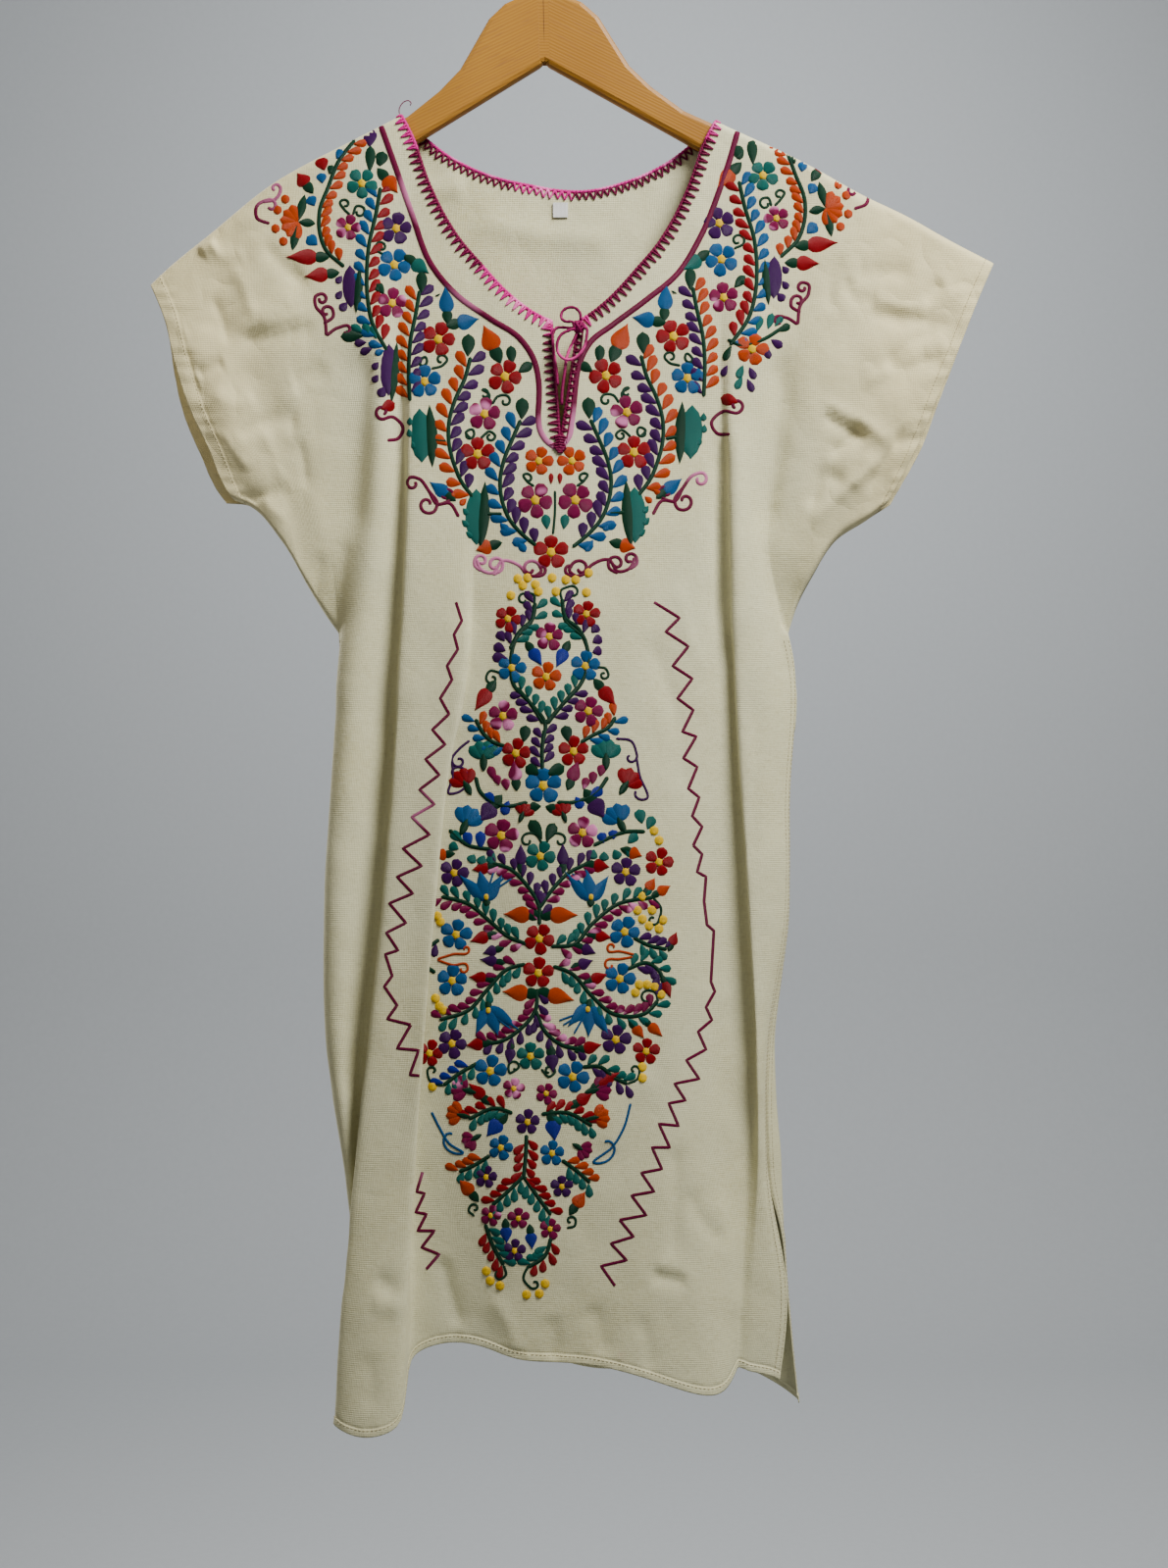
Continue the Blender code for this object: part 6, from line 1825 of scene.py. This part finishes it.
def crochet(strands, edge, pitch, spread, long, pink, bead_pink, start=3.0, stop=0.0):
    """A chain on an edge, and pairs of threads that meet at a point on each face of the cloth."""
    at = np.arange(0.0, edge.length, CHAIN_STEP)
    chain = [edge.inward(s, -CHAIN_OUT) - edge.at(s)[1] * CLOTH_THICK / 2 for s in at]
    radius = BEAD_RADIUS * (BEAD_LEAST + BEAD_MORE * np.abs(np.sin(math.pi * at / BEAD_LONG)))
    tones = [1 if bead_pink(place) else 0 for place in chain]
    first = 0
    for k in range(1, len(chain) + 1):
        if k == len(chain) or tones[k] != tones[first]:
            last = min(k + 1, len(chain))
            strands.add(np.array(chain[first:last]), radius[first:last], tones[first], 8)
            first = k
    count = round((edge.length - start - stop) / pitch)
    for k in range(count):
        middle = start + (k + 0.5) * (edge.length - start - stop) / count
        drift = TOOTH_DRIFT * math.sin(2.3 * k)
        depth = long(middle) * (1 + TOOTH_UNEVEN * math.sin(1.9 * k + 1))
        if depth < LEAST_TOOTH:
            continue
        tip = edge.inward(middle + drift, depth)
        for lift in (TOOTH_LIFT, -CLOTH_THICK - TOOTH_LIFT):
            for side in (-1, 1):
                base = edge.inward(middle + side * spread / 2, TOOTH_FOOT)
                spine = [edge.on_cloth(base + (tip - base) * t, lift) for t in TOOTH_SHARES]
                strands.add(np.array(spine), TOOTH_RADII, 1 if pink(spine[0]) else 0)


def edge_of(cloth, corners):
    """An edge through corners of a panel's grid, each a column and a row."""
    row_count = cloth.body_size[1]
    index = [column * row_count + row for column, row in corners]
    return Edge(cloth, cloth.surface[index] / MM, cloth.normals[index])


def seen_at(place):
    """Pixel of the photograph at which the camera sees a place in millimetres."""
    return to_photo(np.array([[place[0], place[1], -place[2]]]))[0]


# Where the thread's colour runs pink, in pixels: above a height, beside the slit, and on the back
PINK_ABOVE = {-1: 152, 1: 142}
PINK_SLIT = {-1: (492, 342), 1: (600, 338)}
PINK_BACK, PINK_BACK_ENDS = (524, 584), (428, 712)


def pink_left(place):
    across, down = seen_at(place)
    from_across, to_down = PINK_SLIT[-1]
    return down < PINK_ABOVE[-1] or (across > from_across and down < to_down)


def pink_right(place):
    across, down = seen_at(place)
    to_across, to_down = PINK_SLIT[1]
    return down < PINK_ABOVE[1] or (across < to_across and down < to_down)


def pink_back(place):
    across = seen_at(place)[0]
    low, high = PINK_BACK_ENDS
    return PINK_BACK[0] < across < PINK_BACK[1] or across < low or across > high


def neck_teeth(slit_tall, turn):
    """Height of the teeth along an edge: low at the shoulder, full on the neck, its own on the slit."""
    return lambda s: (slit_tall if s > turn + 2 else NECK_TOOTH) * float(ease((s + 4) / 20.0))


def back_teeth(s):
    return BACK_TOOTH * float(ease((min(s, back_edge.length - s) + 4) / 20.0))


neck = [
    np.flatnonzero(np.abs(cloth.across[:, 0] - NECK_MIDDLE) <= NECK_HALF + 0.5) for cloth in (front, back)
]
slit_rows = range(1, front.placket_row)
left_corners = [(c, 0) for c in neck[0] if c <= front.middle]
right_corners = [(c, 0) for c in neck[0][::-1] if c > front.middle]
slit_ends = [(front.middle, front.placket_row)]
left_edge = edge_of(front, left_corners + [(front.middle, r) for r in slit_rows] + slit_ends)
right_edge = edge_of(front, right_corners + [(front.middle + 1, r) for r in slit_rows] + slit_ends)
back_edge = edge_of(back, [(c, 0) for c in neck[1]])
crochet_materials = [crochet_dark, crochet_pink]
LOOSE_THREAD = (
    (0.6, -1.0, -2.0), (-0.8, -1.6, 1.0), (-1.2, -2.0, 5.0), (0.4, -2.2, 8.6), (3.4, -2.2, 11.4),
    (6.6, -2.0, 12.0), (8.4, -1.8, 10.2), (7.6, -1.6, 8.4),
)


def crochet_left():
    """The left edge, and the loose thread that curls up from its end at the neck point."""
    strands = Strands()
    teeth = neck_teeth(SLIT_TOOTH_LEFT, left_edge.lengths[len(left_corners) - 1])
    crochet(strands, left_edge, NECK_PITCH, NECK_SPREAD, teeth, pink_left, pink_left)
    loose = np.array([left_edge.places[0] + np.array(step) for step in LOOSE_THREAD])
    strands.add(along_points(loose, np.linspace(0, 1, 26)), 0.42, 0, 6)
    strands.build("crochet_left", crochet_materials, "crochet", "neck_edging_left")


def crochet_right():
    """The right edge, whose teeth along the slit are short and joined by a thread."""
    strands = Strands()
    turn = right_edge.lengths[len(right_corners) - 1]
    teeth = neck_teeth(SLIT_TOOTH_RIGHT, turn)
    crochet(strands, right_edge, NECK_PITCH, NECK_SPREAD, teeth, pink_right, pink_right)
    rail_at = np.arange(turn + 4, right_edge.length - 4, 1.5)
    rail = [right_edge.on_cloth(right_edge.inward(s, 4.4), 0.5) for s in rail_at]
    strands.add(np.array(rail), 0.6, 0, 6)
    strands.build("crochet_right", crochet_materials, "crochet", "neck_edging_right")


def crochet_back():
    """The back neck's edge, with its own wider teeth."""
    strands = Strands()
    crochet(
        strands, back_edge, BACK_PITCH, BACK_SPREAD, back_teeth, pink_back, lambda place: True, 4.0, 4.0,
    )
    strands.build("crochet_back", crochet_materials, "crochet", "neck_edging_back")


# Rows across the foot: how many, the first one's distance from the end, their pitch and reach
FOOT_ROWS, FOOT_START, FOOT_PITCH, FOOT_REACH, FOOT_UNEVEN = 5, 0.5, 2.1, 3.4, 0.5
# Rows of the point below it: how many, the first one's drop, their pitch, and the half widths
POINT_ROWS, POINT_START, POINT_PITCH, POINT_HALVES = 3, 0.4, 1.7, (5.0, 2.0)
FOOT_PLIES = {"twist": 1.6, "lobes": 2, "lobe": 0.12}
FOOT_CORD, POINT_CORD = 1.1, 1.15


def crochet_foot():
    """Close crochet across the placket's foot, narrower towards its point."""
    strands = Strands()
    for k in range(FOOT_ROWS):
        back_off = FOOT_START + FOOT_PITCH * k
        reach = FOOT_REACH + FOOT_UNEVEN * math.sin(2.1 * k)
        ends = []
        for edge in (left_edge, right_edge):
            s = edge.length - back_off
            ends.append([edge.on_cloth(edge.inward(s, reach * t), 0.9) for t in (1.0, 0.5, 0.0)])
        spine = np.array(ends[0] + ends[1][::-1])
        spine[2:4, 1] -= 0.7
        strands.add(along_points(spine, np.linspace(0, 1, 12)), FOOT_CORD, 0, 8, **FOOT_PLIES)
    foot = left_edge.at(left_edge.length)[0]
    for k in range(POINT_ROWS):
        half = mix(*POINT_HALVES, k / (POINT_ROWS - 1))
        row = foot + np.array((0.0, 0.0, -POINT_START - POINT_PITCH * k))
        bowed = [row + np.array((half * t, 0.0, 0.5 * abs(t))) for t in np.linspace(-1, 1, 7)]
        spine = [left_edge.on_cloth(place, 1.0) for place in bowed]
        strands.add(np.array(spine), POINT_CORD, 0, 8, **FOOT_PLIES)
    strands.build("crochet_foot", crochet_materials, "crochet", "placket_bar")


crochet_left()
crochet_right()
crochet_back()
crochet_foot()

# Machine stitching along the hems, the slits and the side seams
STITCH_LONG, STITCH_PITCH, STITCH_RADIUS = 2.5, 3.3, 0.24
STITCH_OFF_BAND = 0.9
SEAM_STITCH = 1.6
STITCH_LIFTS = STITCH_RADIUS * np.array((-0.6, 0.65, 0.65, -0.6))


def stitch_along(strands, places, normals):
    """Stitches that dip into the cloth at both ends, along a line of places."""
    lengths = lengths_along(places)
    for start in np.arange(1.0, lengths[-1] - STITCH_LONG, STITCH_PITCH):
        at = np.linspace(start, start + STITCH_LONG, 4)
        spine = np.stack([np.interp(at, lengths, places[:, k]) for k in range(3)], axis=-1)
        normal = np.stack([np.interp(at, lengths, normals[:, k]) for k in range(3)], axis=-1)
        strands.add(spine + normal * STITCH_LIFTS[:, None], STITCH_RADIUS, 0, 5, closed_ends=False)


def stitch_panel(strands, cloth):
    """Stitches along a panel's bottom, its slits and side seams, and its cuffs."""
    columns, row_count = cloth.body_size
    count = columns * row_count
    places = cloth.surface[:count].reshape(columns, row_count, 3) / MM
    normals = cloth.normals[:count].reshape(columns, row_count, 3)
    along = cloth.measures[:count, 0].reshape(columns, row_count)
    hem_row = row_count - 4
    stitch_along(strands, places[:, hem_row], normals[:, hem_row])
    for gap in (SLIT_BAND - STITCH_OFF_BAND, SEAM_STITCH):
        for side in (-1, 1):
            line, ways = [], []
            order = slice(None, None, -side)
            for row in range(cloth.underarm_row + 1, hem_row):
                reach = (along[:, row] if side < 0 else along[-1, row] - along[:, row])[order]
                line.append([np.interp(gap, reach, places[order, row, k]) for k in range(3)])
                ways.append([np.interp(gap, reach, normals[order, row, k]) for k in range(3)])
            stitch_along(strands, np.array(line), np.array(ways))
    for side, (part, to_cuff) in cloth.sleeves.items():
        gap = CUFF_BAND[side] - STITCH_OFF_BAND
        line, ways = [], []
        for row in range(part.shape[1]):
            column = int(np.argmax(to_cuff[:, row] < gap))
            share = (to_cuff[column - 1, row] - gap) / (to_cuff[column - 1, row] - to_cuff[column, row])
            before, after = part[column, row], part[column + 1, row]
            line.append(mix(cloth.surface[before], cloth.surface[after], share) / MM)
            ways.append(mix(cloth.normals[before], cloth.normals[after], share))
        stitch_along(strands, np.array(line), np.array(ways))


strands = Strands()
for cloth in (front, back):
    stitch_panel(strands, cloth)
seam_thread = thread_material("seam_thread", (0.50, 0.44, 0.27), (0.33, 0.28, 0.16), (0.6, 0.55, 0.4))
strands.build("machine_stitches", [seam_thread], "cotton")

JOINT_SLANT = 0.0208


def wood_material(name, lean_of_arm, glued=False):
    """Honey varnished beech: long grain that follows the arm, short flecks and a clear coat."""
    shade = Shade(name, 0.36)
    shade.set({"Coat Weight": 0.05, "Specular IOR Level": 0.22, "Coat Roughness": 0.22})
    turned = shade.place("Object", turn=(0.0, lean_of_arm, 0.0))
    rings = shade.wave(shade.scaled(turned, (3.0, 60.0, 90.0)), 1.4, 5.0, "Z", 0.8)
    fine = shade.noise(shade.scaled(turned, (14.0, 500.0, 500.0)), 3.0)
    fleck = shade.noise(shade.scaled(turned, (70.0, 900.0, 900.0)), 1.0)
    broad = shade.speckle(8.0)
    colour = shade.mix(shade.steps(broad, 0.3, 0.7), rgba((0.30, 0.132, 0.013)), rgba((0.40, 0.188, 0.024)))
    colour = shade.mix(shade.times(rings, 0.5), colour, rgba((0.25, 0.100, 0.010)))
    colour = shade.mix(shade.times(shade.steps(fine, 0.45, 0.7), 0.5), colour, rgba((0.32, 0.14, 0.02)))
    colour = shade.mix(shade.times(shade.steps(fleck, 0.62, 0.72), 0.5), colour, rgba((0.24, 0.10, 0.03)))
    if glued:
        place = shade.add("SeparateXYZ", {0: shade.place("Object")}).outputs
        off = shade.size_of(shade.plus(place["X"], shade.times(place["Z"], JOINT_SLANT)))
        ragged = shade.plus(off, shade.times(fine, 0.0003))
        line = shade.times(shade.steps(ragged, 0.0006, 0.0003), shade.steps(place["Z"], -0.098, -0.084))
        colour = shade.mix(line, colour, rgba((0.10, 0.04, 0.012)))
    rough = shade.plus(shade.times(fine, 0.18), 0.42)
    return shade.finish(colour, shade.plus(rings, fine), 0.00012, 0.5, rough)


def steel_material():
    """Plated wire: drawn along its length, with a few smears."""
    shade = Shade("plated_steel", 0.22)
    shade.set({"Metallic": 1.0})
    drawn = shade.speckle((900.0, 900.0, 60.0))
    smear = shade.speckle(60.0)
    colour = shade.mix(smear, rgba((0.55, 0.55, 0.54)), rgba((0.66, 0.66, 0.65)))
    rough = shade.plus(shade.times(smear, 0.2), 0.14)
    return shade.finish(colour, drawn, 0.00005, 0.4, rough)


def tape_material():
    """White woven tape: fine ribs across, threads down it and a little yellowing."""
    shade = Shade("label_tape", 0.75)
    ribs = shade.wave(shade.place(), 420.0, 0.6, "Z")
    threads = shade.wave(shade.place(), 300.0, 0.4, "X")
    aged = shade.speckle(90.0)
    colour = shade.mix(shade.steps(aged, 0.3, 0.8), rgba((0.80, 0.80, 0.79)), rgba((0.70, 0.69, 0.64)))
    colour = shade.mix(shade.times(ribs, 0.18), colour, rgba((0.55, 0.55, 0.54)))
    return shade.finish(colour, shade.plus(ribs, threads), 0.0002, 0.6)


def dress_node(name, material):
    """Gives a node of the frame, which is shown as it is, its material."""
    for slot in frame["nodes"][name].material_slots:
        slot.material = material


ARM_LEAN = math.atan2(ARM[-1][1] - ARM[0][1], ARM[-1][0] - ARM[0][0])
dress_node("hanger_left", wood_material("varnished_wood_left", ARM_LEAN))
dress_node("hanger_right", wood_material("varnished_wood_right", -ARM_LEAN))
dress_node("hanger_hook", steel_material())

# Sections of the fillet from front to back: depth, half its width, its top and its lower edge's apex
FILLET = (
    (-5.97, 4.1, 59.3, 107.2), (-4.8, 1.4, 58.9, 110.2), (-2.0, 0.12, 58.8, 111.8),
    (2.0, 0.12, 58.8, 111.8), (4.8, 1.4, 58.9, 110.2), (5.97, 4.1, 59.3, 107.2),
)
FILLET_CORNERS = 5
APEX_SLOPE = 0.58


def glue_line():
    """The halves meet in a rounded groove: a wooden fillet fills it, with a dark line of glue up it."""
    points = []
    for depth, half, top, apex in FILLET:
        side_end = apex + APEX_SLOPE * half
        for way, drop in ((-1, top), (1, top), (1, side_end), (0, apex), (-1, side_end)):
            points.append((JOINT_SLANT * drop + way * half, depth, drop))
    corners, last = range(FILLET_CORNERS), len(points) - FILLET_CORNERS
    faces = [tuple(corners), tuple(last + i for i in corners)[::-1]]
    for k in range(0, last, FILLET_CORNERS):
        for i in corners:
            j = (i + 1) % FILLET_CORNERS
            faces.append((k + i, k + FILLET_CORNERS + i, k + FILLET_CORNERS + j, k + j))
    piece = mesh_piece("hanger_glue_line", np.array(points), faces, smooth=False)
    settle(piece, wood_material("glued_wood", 0.0, True), "wood")


glue_line()
dress_node("neck_tag", tape_material())

# Studio, in metres: the paper's half width, ends, floor, wall and bend, and the lamps with their aims
PAPER_HALF, PAPER_NEAR, PAPER_FAR = 9.0, -5.0, 4.6
FLOOR, WALL_TALL, BEND = -2.2, 4.5, 1.0
DRESS_AIM, WALL_AIM = (0.02, 0.0, -0.68), (-0.2, 4.6, -0.5)
LAMPS = (
    ("key", (0.95, -0.92, 0.98), DRESS_AIM, 0.8, 86.0, (1.0, 0.99, 0.955)),
    ("side", (-0.9, -0.6, 0.5), DRESS_AIM, 0.7, 4.2, (1.0, 0.90, 0.74)),
    ("back", (-1.25, 0.95, 0.15), DRESS_AIM, 0.6, 26.0, (1.0, 0.98, 0.95)),
    ("wall", (0.4, 1.6, 1.7), WALL_AIM, 1.0, 104.0, (0.95, 0.985, 1.0)),
)
SKY, SKY_STRENGTH = (0.97, 0.98, 1.0, 1.0), 0.08


def stage():
    """A pale seamless floor that curves up far behind, and soft lights."""
    profile = [(PAPER_NEAR, FLOOR), (PAPER_FAR - BEND, FLOOR)]
    profile += [
        (PAPER_FAR - BEND + BEND * math.sin(a), FLOOR + BEND * (1 - math.cos(a)))
        for a in np.linspace(0.1, math.pi / 2, 12)
    ]
    profile.append((PAPER_FAR, FLOOR + WALL_TALL + BEND))
    points = [(x / MM, y / MM, -z / MM) for x in (-PAPER_HALF, PAPER_HALF) for y, z in profile]
    count = len(profile)
    faces = [(k, k + 1, count + k + 1, count + k) for k in range(count - 1)]
    floor_piece = mesh_piece("studio_floor", points, faces)
    shade = Shade("studio_paper", 0.9)
    speck = shade.speckle(60.0, 3.0)
    colour = shade.mix(speck, rgba((0.50, 0.515, 0.53)), rgba((0.54, 0.555, 0.57)))
    floor_piece.data.materials.append(shade.finish(colour, speck, 0.0002, 0.2))
    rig.stage(floor_piece)
    for name, place, aim, size, power, colour in LAMPS:
        lamp = bpy.data.lights.new(name, "AREA")
        lamp.shape = "DISK"
        lamp.size = size
        lamp.energy = power
        lamp.color = colour
        light = bpy.data.objects.new(name, lamp)
        light.location = place
        light.rotation_euler = (Vector(aim) - Vector(place)).to_track_quat("-Z", "Y").to_euler()
        bpy.context.scene.collection.objects.link(light)
    world = bpy.context.scene.world or bpy.data.worlds.new("world")
    bpy.context.scene.world = world
    world.use_nodes = True
    world.node_tree.nodes["Background"].inputs["Color"].default_value = SKY
    world.node_tree.nodes["Background"].inputs["Strength"].default_value = SKY_STRENGTH


stage()

DRESSED_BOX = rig.bounds()
with open("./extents.json", "w") as sizes:
    sizes.write(str([[list(map(float, c)) for c in CAD_BOX], [list(map(float, c)) for c in DRESSED_BOX]]))
